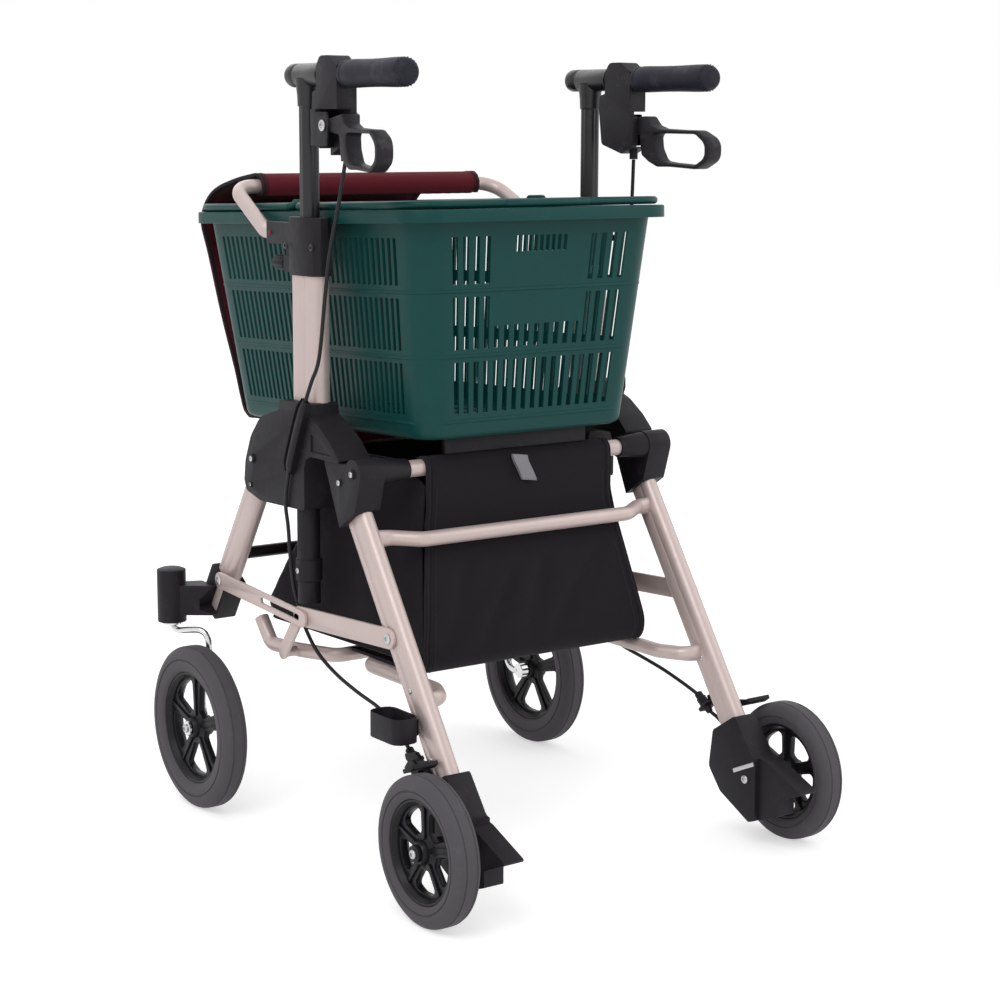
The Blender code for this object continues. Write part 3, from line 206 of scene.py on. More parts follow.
def grainGroup():    # moulded plastic or rubber: fine pits over slow swells
    tree, given, out = nodeGroup("Shader", "mouldedGrain", {
        "Vector": ("Vector", None), "Scale": ("Float", 900.0),
    }, {"Height": "Float", "Mask": "Float"})
    fine = addNode(tree, "ShaderNodeTexVoronoi", {"Vector": given["Vector"], "Scale": given["Scale"]},
                   feature="SMOOTH_F1").outputs["Distance"]
    slow = addNode(tree, "ShaderNodeTexNoise", {
        "Vector": given["Vector"], "Scale": maths(tree, "MULTIPLY", given["Scale"], 0.06), "Detail": 6,
    }).outputs["Fac"]
    height = maths(tree, "ADD", maths(tree, "MULTIPLY", fine, 0.7), maths(tree, "MULTIPLY", slow, 0.5))
    linkInto(tree, out, Height=height, Mask=slow)
    return tree


def drawnGroup():    # fine lines along a drawn or extruded tube
    tree, given, out = nodeGroup("Shader", "drawnLines", {
        "Vector": ("Vector", None), "Lines": ("Float", 500.0), "Length": ("Float", 0.03),
    }, {"Value": "Float"})
    spread = addNode(tree, "ShaderNodeSeparateXYZ", {0: given["Vector"]}).outputs
    packed = addNode(tree, "ShaderNodeCombineXYZ", {
        "X": maths(tree, "MULTIPLY", spread["X"], given["Lines"]),
        "Y": maths(tree, "MULTIPLY", spread["Y"], given["Lines"]),
        "Z": maths(tree, "DIVIDE", spread["Z"], given["Length"]),
    })
    streak = addNode(tree, "ShaderNodeTexNoise", {"Scale": 1, "Detail": 4, "Vector": packed.outputs[0]})
    linkInto(tree, out, Value=streak.outputs["Fac"])
    return tree


def scuffGroup():    # sparse light rubs
    tree, given, out = nodeGroup("Shader", "scuffs", {
        "Vector": ("Vector", None), "Scale": ("Float", 30.0), "Amount": ("Float", 0.3),
    }, {"Mask": "Float"})
    patch = addNode(tree, "ShaderNodeTexNoise", {
        "Vector": given["Vector"], "Scale": given["Scale"], "Detail": 9, "Roughness": 0.72})
    edge = addNode(tree, "ShaderNodeMapRange", {
        "Value": patch.outputs["Fac"], "From Min": 0.56, "From Max": 0.74})
    linkInto(tree, out, Mask=maths(tree, "MULTIPLY", edge.outputs["Result"], given["Amount"]))
    return tree


def weaveGroup():    # plain weave, from a UV map in metres
    tree, given, out = nodeGroup("Shader", "plainWeave", {
        "Vector": ("Vector", None), "Threads": ("Float", 1400.0),
    }, {"Height": "Float", "Mask": "Float"})
    spread = addNode(tree, "ShaderNodeSeparateXYZ", {0: given["Vector"]}).outputs
    steps = [maths(tree, "MULTIPLY", spread[axis], given["Threads"]) for axis in ("X", "Y")]
    whole = [maths(tree, "FLOOR", step) for step in steps]
    over = maths(tree, "FLOORED_MODULO", maths(tree, "ADD", *whole), 2.0)
    under = maths(tree, "SUBTRACT", 1.0, over)
    turns = [maths(tree, "MULTIPLY", maths(tree, "FRACT", step), math.pi) for step in steps]
    seen = zip(turns, (over, under))
    threads = [maths(tree, "MULTIPLY", maths(tree, "SINE", turn), share) for turn, share in seen]
    height = maths(tree, "ADD", *threads)
    slub = addNode(tree, "ShaderNodeTexNoise", {"Scale": 60, "Detail": 8, "Vector": given["Vector"]})
    mask = maths(tree, "ADD", maths(tree, "MULTIPLY", over, 0.25),
                 maths(tree, "MULTIPLY", slub.outputs["Fac"], 0.75))
    linkInto(tree, out, Height=height, Mask=mask)
    return tree


effects = {"grain": grainGroup(), "drawn": drawnGroup(), "scuff": scuffGroup(), "weave": weaveGroup()}


# Finishes. Each one is a material of its own, mixed from the shared effects.

class Finish:
    def __init__(self, name, colour, roughness, metallic=0.0, space="Object", shine=0.5):
        self.material = bpy.data.materials.new(name)
        self.material.use_nodes = True
        self.tree = self.material.node_tree
        self.shader = self.tree.nodes["Principled BSDF"].inputs
        self.set(**{"Metallic": metallic, "Roughness": roughness, "Specular IOR Level": shine})
        self.place = self.tree.nodes.new("ShaderNodeTexCoord").outputs[space]
        self.colour = self.tree.nodes.new("ShaderNodeRGB").outputs[0]
        self.colour.default_value = (*colour, 1)

    def set(self, **values):
        for name, value in values.items():
            self.shader[name].default_value = value

    def effect(self, name, **values):
        values["Vector"] = self.place
        return addNode(self.tree, "ShaderNodeGroup", values, node_tree=effects[name]).outputs

    def tint(self, mask, colour, share=1.0):
        factor = maths(self.tree, "MULTIPLY", mask, share)
        mix = addNode(self.tree, "ShaderNodeMix", {"Factor": factor, "A": self.colour, "B": (*colour, 1)},
                      data_type="RGBA")
        self.colour = mix.outputs["Result"]

    def rough(self, mask, low, high):
        span = addNode(self.tree, "ShaderNodeMapRange", {"Value": mask, "To Min": low, "To Max": high})
        linkInto(self.tree, self.shader, Roughness=span.outputs["Result"])

    def raised(self, height, depth, strength):
        bump = addNode(self.tree, "ShaderNodeBump", {"Height": height, "Distance": depth, "Strength": strength})
        linkInto(self.tree, self.shader, Normal=bump.outputs["Normal"])

    def done(self):
        linkInto(self.tree, self.shader, **{"Base Color": self.colour})
        return self.material


def metalFinish(name, colour, roughness, metallic, lines):
    finish = Finish(name, colour, roughness, metallic)
    drawn = finish.effect("drawn", Lines=lines)["Value"]
    scuff = finish.effect("scuff", Scale=26.0, Amount=0.5)["Mask"]
    finish.tint(drawn, [c * 0.90 for c in colour], 0.6)
    finish.tint(scuff, [min(1, c * 1.15) for c in colour])
    finish.rough(drawn, roughness - 0.07, roughness + 0.09)
    finish.raised(drawn, 0.00012, 0.35)
    return finish.done()


def plasticFinish(name, colour, roughness, grain, depth, wear):
    finish = Finish(name, colour, roughness, shine=0.22)
    moulded = finish.effect("grain", Scale=grain)
    scuff = finish.effect("scuff", Scale=34.0, Amount=0.8)["Mask"]
    finish.tint(moulded["Mask"], [c * 1.35 + 0.002 for c in colour], 0.5)
    finish.tint(scuff, wear, 0.5)
    finish.rough(moulded["Mask"], roughness - 0.10, roughness + 0.12)
    finish.raised(moulded["Height"], depth, 0.5)
    return finish.done()


def clothFinish(name, colour, threads, light, sheen, roughness=0.82):
    finish = Finish(name, colour, roughness, space="UV", shine=0.12)
    weave = finish.effect("weave", Threads=threads)
    finish.tint(weave["Mask"], light, 0.8)
    finish.rough(weave["Mask"], roughness - 0.08, min(1.0, roughness + 0.1))
    finish.raised(weave["Height"], 0.00035, 0.6)
    finish.set(**{"Sheen Weight": sheen, "Sheen Roughness": 0.45})
    return finish.done()


finishes = {
    "champagne": metalFinish("champagneTube", (0.65, 0.53, 0.505), 0.36, 0.25, 420.0),
    "chrome": metalFinish("chromeRod", (0.70, 0.70, 0.71), 0.14, 1.0, 260.0),
    "bolt": metalFinish("boltSteel", (0.55, 0.55, 0.56), 0.30, 1.0, 900.0),
    "post": metalFinish("blackPostPaint", (0.010, 0.0085, 0.011), 0.36, 0.0, 380.0),
    "moulded": plasticFinish("blackMoulding", (0.0105, 0.0085, 0.0115), 0.50, 1500.0, 0.00012,
                             (0.05, 0.046, 0.052)),
    "speckled": plasticFinish("brakeMoulding", (0.014, 0.012, 0.015), 0.50, 900.0, 0.00028,
                              (0.12, 0.115, 0.12)),
    "rim": plasticFinish("wheelMoulding", (0.0085, 0.0075, 0.0095), 0.36, 1100.0, 0.00008, (0.06, 0.06, 0.065)),
    "grip": plasticFinish("gripRubber", (0.015, 0.0155, 0.024), 0.58, 2200.0, 0.0001, (0.10, 0.10, 0.12)),
    "foam": plasticFinish("sleeveFoam", (0.020, 0.018, 0.022), 0.90, 1800.0, 0.0003, (0.05, 0.05, 0.055)),
    "tyre": plasticFinish("greyTyre", (0.086, 0.079, 0.089), 0.62, 1300.0, 0.00018, (0.15, 0.145, 0.155)),
    "cable": plasticFinish("cableSheath", (0.016, 0.015, 0.018), 0.40, 2600.0, 0.00005, (0.05, 0.05, 0.055)),
    "basket": plasticFinish("greenMoulding", (0.0004, 0.050, 0.0465), 0.40, 700.0, 0.00010,
                            (0.006, 0.085, 0.078)),
    "burgundy": clothFinish("burgundyCloth", (0.115, 0.0075, 0.016), 1300.0, (0.160, 0.014, 0.025), 0.12),
    "nylon": clothFinish("blackNylon", (0.0095, 0.0075, 0.0105), 1500.0, (0.018, 0.015, 0.020), 0.05, 0.72),
    "webbing": clothFinish("greyWebbing", (0.24, 0.235, 0.255), 900.0, (0.36, 0.35, 0.375), 0.3, 0.7),
    "binding": clothFinish("blackBinding", (0.014, 0.012, 0.016), 1100.0, (0.026, 0.023, 0.028), 0.08, 0.85),
    "redMark": plasticFinish("redMark", (0.16, 0.010, 0.012), 0.40, 1500.0, 0.00005, (0.3, 0.08, 0.08)),
    "thread": clothFinish("sewingThread", (0.030, 0.026, 0.032), 3000.0, (0.060, 0.055, 0.063), 0.2, 0.7),
}
print("finishes ready:", len(finishes))


# Shape tools

def reworked(mesh, change):    # change gets the mesh as a BMesh
    work = bmesh.new()
    work.from_mesh(mesh)
    change(work)
    work.to_mesh(mesh)
    work.free()
    return mesh


def faceOutwards(work):
    bmesh.ops.recalc_face_normals(work, faces=work.faces)


def weld(work):
    bmesh.ops.remove_doubles(work, verts=work.verts, dist=0.00001)


def meshOf(points, faces, uvs=None):
    mesh = bpy.data.meshes.new("shape")
    mesh.from_pydata([tuple(point) for point in points], [], faces)
    if uvs:
        layer = mesh.uv_layers.new(name="cloth")
        for loop in mesh.loops:
            layer.data[loop.index].uv = uvs[loop.vertex_index]
    return reworked(mesh, faceOutwards)


def joinMeshes(meshes):
    def addOthers(work):
        for mesh in meshes[1:]:
            work.from_mesh(mesh)
    return reworked(meshes[0], addOthers)


def mirrored(mesh):
    mesh.transform(Matrix.Scale(-1, 4, (1, 0, 0)))
    mesh.flip_normals()
    return mesh


def evaluated(data, settle=None):    # a curve, or a mesh with the modifiers that settle adds, made real
    helper = bpy.data.objects.new("helper", data)
    bpy.context.scene.collection.objects.link(helper)
    if settle:
        settle(helper)
    bpy.context.view_layer.update()
    graph = bpy.context.evaluated_depsgraph_get()
    result = bpy.data.meshes.new_from_object(helper.evaluated_get(graph), preserve_all_data_layers=True,
                                             depsgraph=graph)
    bpy.data.objects.remove(helper, do_unlink=True)
    return result


def bevelled(mesh, width, segments=2, angle=28):
    def settle(helper):
        bevel = helper.modifiers.new("edge", "BEVEL")
        bevel.width = width
        bevel.segments = segments
        bevel.limit_method = "ANGLE"
        bevel.angle_limit = math.radians(angle)
        bevel.harden_normals = False
    return evaluated(mesh, settle)


def circleOf(radius, count=28):
    turns = [2 * math.pi * i / count for i in range(count)]
    return [(radius * math.cos(turn), radius * math.sin(turn)) for turn in turns]


def ovalOf(width, depth, steps=14, groove=0.0, grooveHalf=0.0012):    # groove: a shallow line down each flat
    radius = width / 2
    straight = depth / 2 - radius
    points = []
    for end in (1, -1):
        for i in range(steps + 1):
            turn = math.pi * i / steps + (0 if end > 0 else math.pi)
            points.append((radius * math.cos(turn), end * straight + radius * math.sin(turn)))
        if groove:
            x = -end * radius
            for y in (grooveHalf, 0, -grooveHalf):
                points.append((x * (1 - groove / radius if y == 0 else 1), end * (straight * 0.45 + y)))
    return points


def arcOf(centre, radius, start, stop, steps=10):
    turns = [math.radians(start + (stop - start) * i / steps) for i in range(steps + 1)]
    return [(centre[0] + radius * math.cos(t), centre[1] + radius * math.sin(t)) for t in turns]


def cornerOf(before, here, after, radius, steps):
    before, here, after = Vector(before), Vector(here), Vector(after)
    inward, outward = (here - before).normalized(), (after - here).normalized()
    turn = inward.angle(outward)
    if radius == 0 or turn < 0.01:
        return [here]
    centre = here + (outward - inward).normalized() * radius / math.cos(turn / 2)
    arm = here - inward * radius * math.tan(turn / 2) - centre
    return [centre + arm * math.cos(turn * i / steps) + inward * radius * math.sin(turn * i / steps)
            for i in range(steps + 1)]


def bentPath(route, radius, steps=10):
    radii = radius if isinstance(radius, list) else [radius] * len(route)
    path = [Vector(route[0])]
    for before, here, after, bend in zip(route, route[1:], route[2:], radii):
        path += cornerOf(before, here, after, bend, steps)
    return path + [Vector(route[-1])]


def roundedLoop(outline, radius, steps=5):
    radii = radius if isinstance(radius, list) else [radius] * len(outline)
    points = []
    for i, here in enumerate(outline):
        found = cornerOf(outline[i - 1], here, outline[(i + 1) % len(outline)], radii[i], steps)
        points += [tuple(point) for point in found]
    return points


def roundedBox(halfX, halfY, radius, steps=8):
    return roundedLoop([(halfX, halfY), (-halfX, halfY), (-halfX, -halfY), (halfX, -halfY)], radius, steps)


def flowPath(route, spacing):    # a smooth curve through every point of the route
    route = [Vector(spot) for spot in route]
    ends = [route[0] * 2 - route[1]] + route + [route[-1] * 2 - route[-2]]
    path = []
    for i in range(len(route) - 1):
        a, b, c, d = ends[i:i + 4]
        steps = max(1, round((c - b).length / spacing))
        for j in range(steps):
            t = j / steps
            path.append(0.5 * (2 * b + (c - a) * t + (2 * a - 5 * b + 4 * c - d) * t ** 2
                               + (3 * b - a - 3 * c + d) * t ** 3))
    return path + [route[-1]]


def sweep(path, section, side=(0, 0, 1), scales=None):
    path = [Vector(spot) for spot in path]
    size, last = len(section), len(path) - 1
    across = Vector(side)
    points, uvs = [], []
    run = 0.0
    for i, spot in enumerate(path):
        ahead = (path[min(i + 1, last)] - path[max(i - 1, 0)]).normalized()
        across = (across - ahead * across.dot(ahead)).normalized()
        other = ahead.cross(across)
        wide, high = scales[i] if scales else (1, 1)
        run += (spot - path[i - 1]).length if i else 0
        points += [spot + across * a * wide + other * b * high for a, b in section]
        uvs += [(run, j * 0.002) for j in range(size)]
    faces = []
    for i in range(last):
        for j in range(size):
            one, two = i * size + j, i * size + (j + 1) % size
            faces.append([one, two, two + size, one + size])
    faces += [list(range(size)), list(range(last * size, len(points)))]
    return meshOf(points, faces, uvs)


def onAxis(axis, u, v, w):    # w runs along the axis
    return Vector({"x": (w, u, v), "y": (u, w, v), "z": (u, v, w)}[axis])


def lathe(profile, axis, centre, count=48, ring=False):
    points, loops = [], []
    for radius, along in profile:
        start = len(points)
        turns = [0] if radius == 0 else [2 * math.pi * i / count for i in range(count)]
        loops.append([start + i for i in range(len(turns))])
        for turn in turns:
            u, v = radius * math.cos(turn), radius * math.sin(turn)
            points.append(Vector(centre) + onAxis(axis, u, v, along))
    faces = [] if ring else [loop for loop in (loops[0], loops[-1]) if len(loop) > 1]
    pairs = list(zip(loops, loops[1:])) + ([(loops[-1], loops[0])] if ring else [])
    for one, two in pairs:
        for i in range(count):
            after = (i + 1) % count
            if len(one) == 1:
                faces.append([one[0], two[i], two[after]])
            elif len(two) == 1:
                faces.append([one[i], one[after], two[0]])
            else:
                faces.append([one[i], one[after], two[after], two[i]])
    return meshOf(points, faces)


def rodOf(axis, centre, radius, low, high, count=32, soft=0.0004):
    return lathe([(radius - soft, low), (radius, low + soft), (radius, high - soft), (radius - soft, high)],
                 axis, centre, count)


def slabOf(outline, axis, low, high):
    count = len(outline)
    points = [onAxis(axis, u, v, w) for w in (low, high) for u, v in outline]
    faces = [list(range(count)), list(range(count, 2 * count))]
    faces += [[i, (i + 1) % count, count + (i + 1) % count, count + i] for i in range(count)]
    return meshOf(points, faces)


# A flat plate with holes. The first outline is its edge.
def platedOf(outlines, axis, centre, low, high, soft):
    curve = bpy.data.curves.new("plate", "CURVE")
    curve.dimensions = "2D"
    curve.fill_mode = "BOTH"
    curve.extrude = (high - low) / 2 - soft
    curve.bevel_depth = soft
    curve.bevel_resolution = 1
    curve.offset = -soft
    for outline in outlines:
        spline = curve.splines.new("POLY")
        spline.points.add(len(outline) - 1)
        spline.use_cyclic_u = True
        for point, (u, v) in zip(spline.points, outline):
            point.co = (u, v, 0, 1)
    turn = {"x": Matrix(((0, 0, 1), (1, 0, 0), (0, 1, 0))), "z": Matrix.Identity(3)}[axis].to_4x4()
    place = Matrix.Translation(centre) @ turn @ Matrix.Translation((0, 0, (low + high) / 2))

    def settle(work):
        weld(work)
        work.transform(place)
        faceOutwards(work)
    return reworked(evaluated(curve), settle)


def softNode(name, width):    # a copy of a CAD piece with its edges rounded
    def settle(work):
        weld(work)
        bmesh.ops.dissolve_limit(work, angle_limit=math.radians(1.5), verts=work.verts, edges=work.edges)
        bmesh.ops.transform(work, matrix=toPart.inverted(), verts=work.verts)
    return bevelled(reworked(frame["nodes"][name].data.copy(), settle), width, 3)


pairedBodies = ("handle", "knob", "lever", "brake", "caster", "front_link", "front_wheel", "rear_wheel")


def bodyOf(body, side):
    return labels[side] + body if body in pairedBodies else body


# side is -1 for left, 1 for right and 0 for a piece without a twin. The mesh of a pair is made on the right.
def addPiece(name, mesh, look, body, stands=(), side=0, crease=36, inPlace=False):
    label = labels[side]
    if side < 0 and not inPlace:
        mirrored(mesh)
    mesh.transform(toPart)
    mesh.materials.clear()
    mesh.materials.append(finishes[look])
    for face in mesh.polygons:
        face.material_index = 0
    mesh.shade_smooth()
    mesh.set_sharp_from_angle(angle=math.radians(crease))
    mesh.name = label + name
    piece = bpy.data.objects.new(label + name, mesh)
    bpy.context.scene.collection.objects.link(piece)
    if body:
        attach(piece, bodyOf(body, side))
    if stands:
        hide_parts(*(label + node for node in stands))
    return piece


# Geometry Nodes: one tree sets copies of a small shape on marked points, one sews along a line, one slots a wall.

def geometryTree(name, **inputs):
    inputs = {"Geometry": ("Geometry", None), **inputs, "Finish": ("Material", None)}
    return nodeGroup("Geometry", name, inputs, {"Geometry": "Geometry"})


def namedValue(tree, name, kind):
    node = addNode(tree, "GeometryNodeInputNamedAttribute", {"Name": name}, data_type=kind)
    return node.outputs["Attribute"]


def finishedTree(tree, given, out, geometry):
    real = addNode(tree, "GeometryNodeRealizeInstances", {"Geometry": geometry})
    paint = addNode(tree, "GeometryNodeSetMaterial",
                    {"Geometry": real.outputs["Geometry"], "Material": given["Finish"]})
    linkInto(tree, out, Geometry=paint.outputs["Geometry"])
    return tree


def copiesTree():
    tree, given, out = geometryTree("setCopies", Shape=("Object", None))
    points = addNode(tree, "GeometryNodeMeshToPoints", {"Mesh": given["Geometry"]})
    up = addNode(tree, "FunctionNodeAlignRotationToVector", {
        "Vector": namedValue(tree, "facing", "FLOAT_VECTOR")}, axis="Z")
    along = addNode(tree, "FunctionNodeAlignRotationToVector", {
        "Rotation": up.outputs["Rotation"], "Vector": namedValue(tree, "heading", "FLOAT_VECTOR"),
    }, axis="X", pivot_axis="Z")
    shape = addNode(tree, "GeometryNodeObjectInfo", {"Object": given["Shape"]})
    copies = addNode(tree, "GeometryNodeInstanceOnPoints", {
        "Points": points.outputs["Points"], "Instance": shape.outputs["Geometry"],
        "Rotation": along.outputs["Rotation"]})
    return finishedTree(tree, given, out, copies.outputs["Instances"])


def sewingTree():
    tree, given, out = geometryTree("sewLine", Pitch=("Float", 0.0042), Stitch=("Float", 0.0026),
                                    Thread=("Float", 0.00035))
    line = addNode(tree, "GeometryNodeMeshToCurve", {"Mesh": given["Geometry"]})
    spaced = addNode(tree, "GeometryNodeResampleCurve",
                     {"Curve": line.outputs["Curve"], "Length": given["Pitch"]}, mode="LENGTH")
    points = addNode(tree, "GeometryNodeCurveToPoints", {"Curve": spaced.outputs["Curve"]}, mode="EVALUATED")
    stitch = addNode(tree, "GeometryNodeMeshCylinder", {
        "Vertices": 5, "Radius": given["Thread"], "Depth": given["Stitch"]})
    copies = addNode(tree, "GeometryNodeInstanceOnPoints", {
        "Points": points.outputs["Points"], "Instance": stitch.outputs["Mesh"],
        "Rotation": points.outputs["Rotation"]})
    return finishedTree(tree, given, out, copies.outputs["Instances"])


def slottingTree():
    tree, given, out = geometryTree("slotWall", Wall=("Float", 0.0028))
    pierced = addNode(tree, "GeometryNodeDeleteGeometry", {
        "Geometry": given["Geometry"], "Selection": namedValue(tree, "open", "BOOLEAN"),
    }, domain="FACE").outputs["Geometry"]
    inward = maths(tree, "MULTIPLY", given["Wall"], -1.0)
    thick = addNode(tree, "GeometryNodeExtrudeMesh", {
        "Individual": False, "Mesh": pierced, "Offset Scale": inward})
    turned = addNode(tree, "GeometryNodeFlipFaces", {"Mesh": pierced})
    both = addNode(tree, "GeometryNodeJoinGeometry", {"Geometry": thick.outputs["Mesh"]})
    linkInto(tree, both.inputs, Geometry=turned.outputs["Mesh"])
    welded = addNode(tree, "GeometryNodeMergeByDistance", {
        "Distance": 0.00002, "Geometry": both.outputs["Geometry"]})
    return finishedTree(tree, given, out, welded.outputs["Geometry"])


trees = {"copies": copiesTree(), "sewing": sewingTree(), "slotting": slottingTree()}


def grown(mesh, treeName, **values):    # runs one of the trees over a mesh
    tree = trees[treeName]
    sockets = {item.name: item.identifier for item in tree.interface.items_tree if item.in_out == "INPUT"}

    def settle(helper):
        modifier = helper.modifiers.new(treeName, "NODES")
        modifier.node_group = tree
        for label, value in values.items():
            modifier[sockets[label]] = value
    return evaluated(mesh, settle)


def copiesOf(shape, spots, look):    # spots: (place, facing) or (place, facing, heading)
    mesh = bpy.data.meshes.new("spots")
    mesh.from_pydata([tuple(spot[0]) for spot in spots], [], [])
    for name, index in (("facing", 1), ("heading", 2)):
        marks = mesh.attributes.new(name, "FLOAT_VECTOR", "POINT")
        for mark, spot in zip(marks.data, spots):
            mark.vector = spot[index] if len(spot) > index else Vector(spot[1]).orthogonal()
    helper = bpy.data.objects.new("copied", shape)
    bpy.context.scene.collection.objects.link(helper)
    made = grown(mesh, "copies", Shape=helper, Finish=finishes[look])
    bpy.data.objects.remove(helper, do_unlink=True)
    return made


def stitched(lines):
    rows = []
    for line in lines:
        mesh = bpy.data.meshes.new("seam")
        mesh.from_pydata([tuple(point) for point in line], [(i, i + 1) for i in range(len(line) - 1)], [])
        rows.append(grown(mesh, "sewing", Finish=finishes["thread"]))
    return joinMeshes(rows)


def screwHead(radius, height, count):    # a domed head with a sunk drive, facing +Z
    profile = [(radius, 0.0), (radius, height * 0.45)]
    profile += [(radius * math.cos(t), height * (0.45 + 0.55 * math.sin(t))) for t in (0.4, 0.8, 1.15)]
    profile += [(radius * 0.42, height), (radius * 0.40, height * 0.35), (0, height * 0.35)]
    return lathe(profile, "z", (0, 0, 0), count)


print("tools ready")

# Wheels

wheels = {
    "x": 0.254,
    "front": {"axle": (0.2512, 0.0996), "radius": 0.0996, "width": 0.0325, "depth": 0.031},
    "rear": {"axle": (-0.2512, 0.081), "radius": 0.081, "width": 0.0315, "depth": 0.0245},
    "seat": 0.0003,
    "ringDepth": 0.007,
    "ringHalf": 0.011,
    "discHalf": 0.004,
    "windowRadius": 0.021,
    "hubHalf": 0.014,
    "spokes": 5,
}


def tyreShape(size, centre):
    radius, half, inner = size["radius"], size["width"] / 2, size["radius"] - size["depth"]
    edge = [(radius, 0), (radius, 0.0056), (radius - 0.0010, 0.0061), (radius - 0.0010, 0.0071),
            (radius - 0.0002, 0.0077), (radius - 0.0012, 0.0103), (radius - 0.0038, half - 0.0034),
            (radius - 0.0076, half - 0.0011), (radius - 0.0118, half), (radius - 0.0148, half),
            (radius - 0.0153, half - 0.0012), (radius - 0.0167, half - 0.0012),
            (radius - 0.0172, half - 0.0001), (inner + 0.0052, half - 0.0007), (inner + 0.0020, half - 0.0021),
            (inner, wheels["ringHalf"] + 0.001)]
    return lathe(edge + [(r, -x) for r, x in reversed(edge[1:])], "x", centre, 128, ring=True)


def rimShape(size, centre):
    radius = size["radius"] - size["depth"] - wheels["seat"]
    inner, half = radius - wheels["ringDepth"], wheels["ringHalf"]
    edge = [(radius, half - 0.0006), (radius - 0.0006, half), (radius - 0.0028, half),
            (radius - 0.0036, half - 0.0012), (inner + 0.0012, 0.0072), (inner, 0.0052)]
    parts = [lathe(edge + [(r, -x) for r, x in reversed(edge)], "x", centre, 96, ring=True)]
    low, high = wheels["windowRadius"], inner - 0.0028
    outlines = [circleOf(inner + 0.0010, 96)]
    step = 360 / wheels["spokes"]
    corners = [(high, turn) for turn in (-26, -8.7, 8.7, 26)] + [(low, 17), (low, -17)]
    for i in range(wheels["spokes"]):
        loop = []
        for reach, turn in corners:
            angle = math.radians(90 + step * (i + 0.5) + turn)
            loop.append((reach * math.cos(angle), reach * math.sin(angle)))
        outlines.append(roundedLoop(loop, [0.0055, 0.03, 0.03, 0.0055, 0.0042, 0.0042], 5))
    parts.append(platedOf(outlines, "x", centre, -wheels["discHalf"], wheels["discHalf"], 0.0008))
    hub = wheels["hubHalf"]
    boss = [(0, hub - 0.0020), (0.0046, hub - 0.0020), (0.0052, hub - 0.0002), (0.0112, hub),
            (0.0122, hub - 0.0010), (0.0134, 0.0068), (0.0158, 0.0046), (0.0188, 0.0038)]
    parts.append(lathe(boss + [(r, -x) for r, x in reversed(boss)], "x", centre, 48))
    reach = inner - 0.0130
    outline = [(-reach / 2, -0.0030), (reach / 2, -0.0019), (reach / 2, 0.0019), (-reach / 2, 0.0030)]
    rib = bevelled(slabOf(outline, "z", -0.001, 0.0026), 0.0007)
    spots = []
    for i in range(wheels["spokes"]):
        angle = math.radians(90 + step * i)
        out = Vector((0, math.cos(angle), math.sin(angle)))
        for way in (-1, 1):
            face = Vector((way * wheels["discHalf"], 0, 0))
            spots.append((Vector(centre) + out * (0.0130 + reach / 2) + face, (way, 0, 0), out))
    parts.append(copiesOf(rib, spots, "rim"))
    return joinMeshes(parts)


for side in sides:
    for end in ("front", "rear"):
        size = wheels[end]
        centre = (wheels["x"], *size["axle"])
        addPiece(end + "Tyre", tyreShape(size, centre), "tyre", end + "_wheel", [end + "_tyre"], side)
        addPiece(end + "Rim", rimShape(size, centre), "rim", end + "_wheel", [end + "_rim"], side)
print("wheels ready")


# Frame tubes

tubes = {
    "postSpot": (0.1985, 0.068),
    "postEnds": (0.4803, 0.700),
    "postSize": (0.026, 0.056),
    "legX": 0.2025,
    "legSize": (0.020, 0.037),
    "rearLeg": ((-0.0410, 0.3956), (-0.2198, 0.1274)),
    "frontPivot": (0.1620, 0.4395),
    "frontLean": 32.6,
    "frontEnds": (-0.013, 0.2420),
    "groove": 0.0007,
    "seatBarRadius": 0.0095,
    "rearBar": (-0.0527, 0.4481),
    "rearBarEnd": 0.2100,
    "frontBar": (0.135, 0.4589),
    "frontBarEnd": 0.1822,
    "sleeve": (0.150, 0.1872),
    "crossRadius": 0.0085,
    "crossRoute": ((0.1922, -0.0595, 0.3745), (0.176, -0.0595, 0.3745), (0.146, -0.080, 0.3725)),
    "baseRoute": ((0.1922, -0.1585, 0.2125), (0.176, -0.1585, 0.2125), (0.159, -0.125, 0.2125),
                  (0.159, 0.020, 0.2125)),
    "frontCross": (0.2340, 0.3120),
    "frontCrossEnd": 0.1922,
    "frontCrossRadius": 0.0075,
    "guardRadius": 0.0085,
    "guardRoute": ((0.1985, 0.112, 0.7035), (0.1985, 0.168, 0.7035), (0.190, 0.260, 0.752)),
    "guardBend": 0.028,
    "guideRadius": 0.0132,
    "guideSpot": (0.2035, 0.070),
}

rearTop, rearEnd = (Vector(spot) for spot in tubes["rearLeg"])
rearDown = (rearEnd - rearTop).normalized()
rearAcross = Vector((-rearDown.y, rearDown.x))
lean = math.radians(tubes["frontLean"])
frontDown = Vector((math.sin(lean), -math.cos(lean)))
frontAcross = Vector((math.cos(lean), math.sin(lean)))


def rearSpot(distance, offset=0.0):
    return tuple(rearTop + rearDown * distance + rearAcross * offset)


def frontSpot(distance, offset=0.0):
    return tuple(Vector(tubes["frontPivot"]) + frontDown * distance + frontAcross * offset)


def addTube(name, mesh, node, side=0, body="main"):
    addPiece(name, mesh, "champagne", body, [node], side)


def legShape(start, end):
    x = tubes["legX"]
    path = [(x, *(Vector(start).lerp(Vector(end), i / 8))) for i in range(9)]
    return sweep(path, ovalOf(*tubes["legSize"], 12, tubes["groove"]), (1, 0, 0))


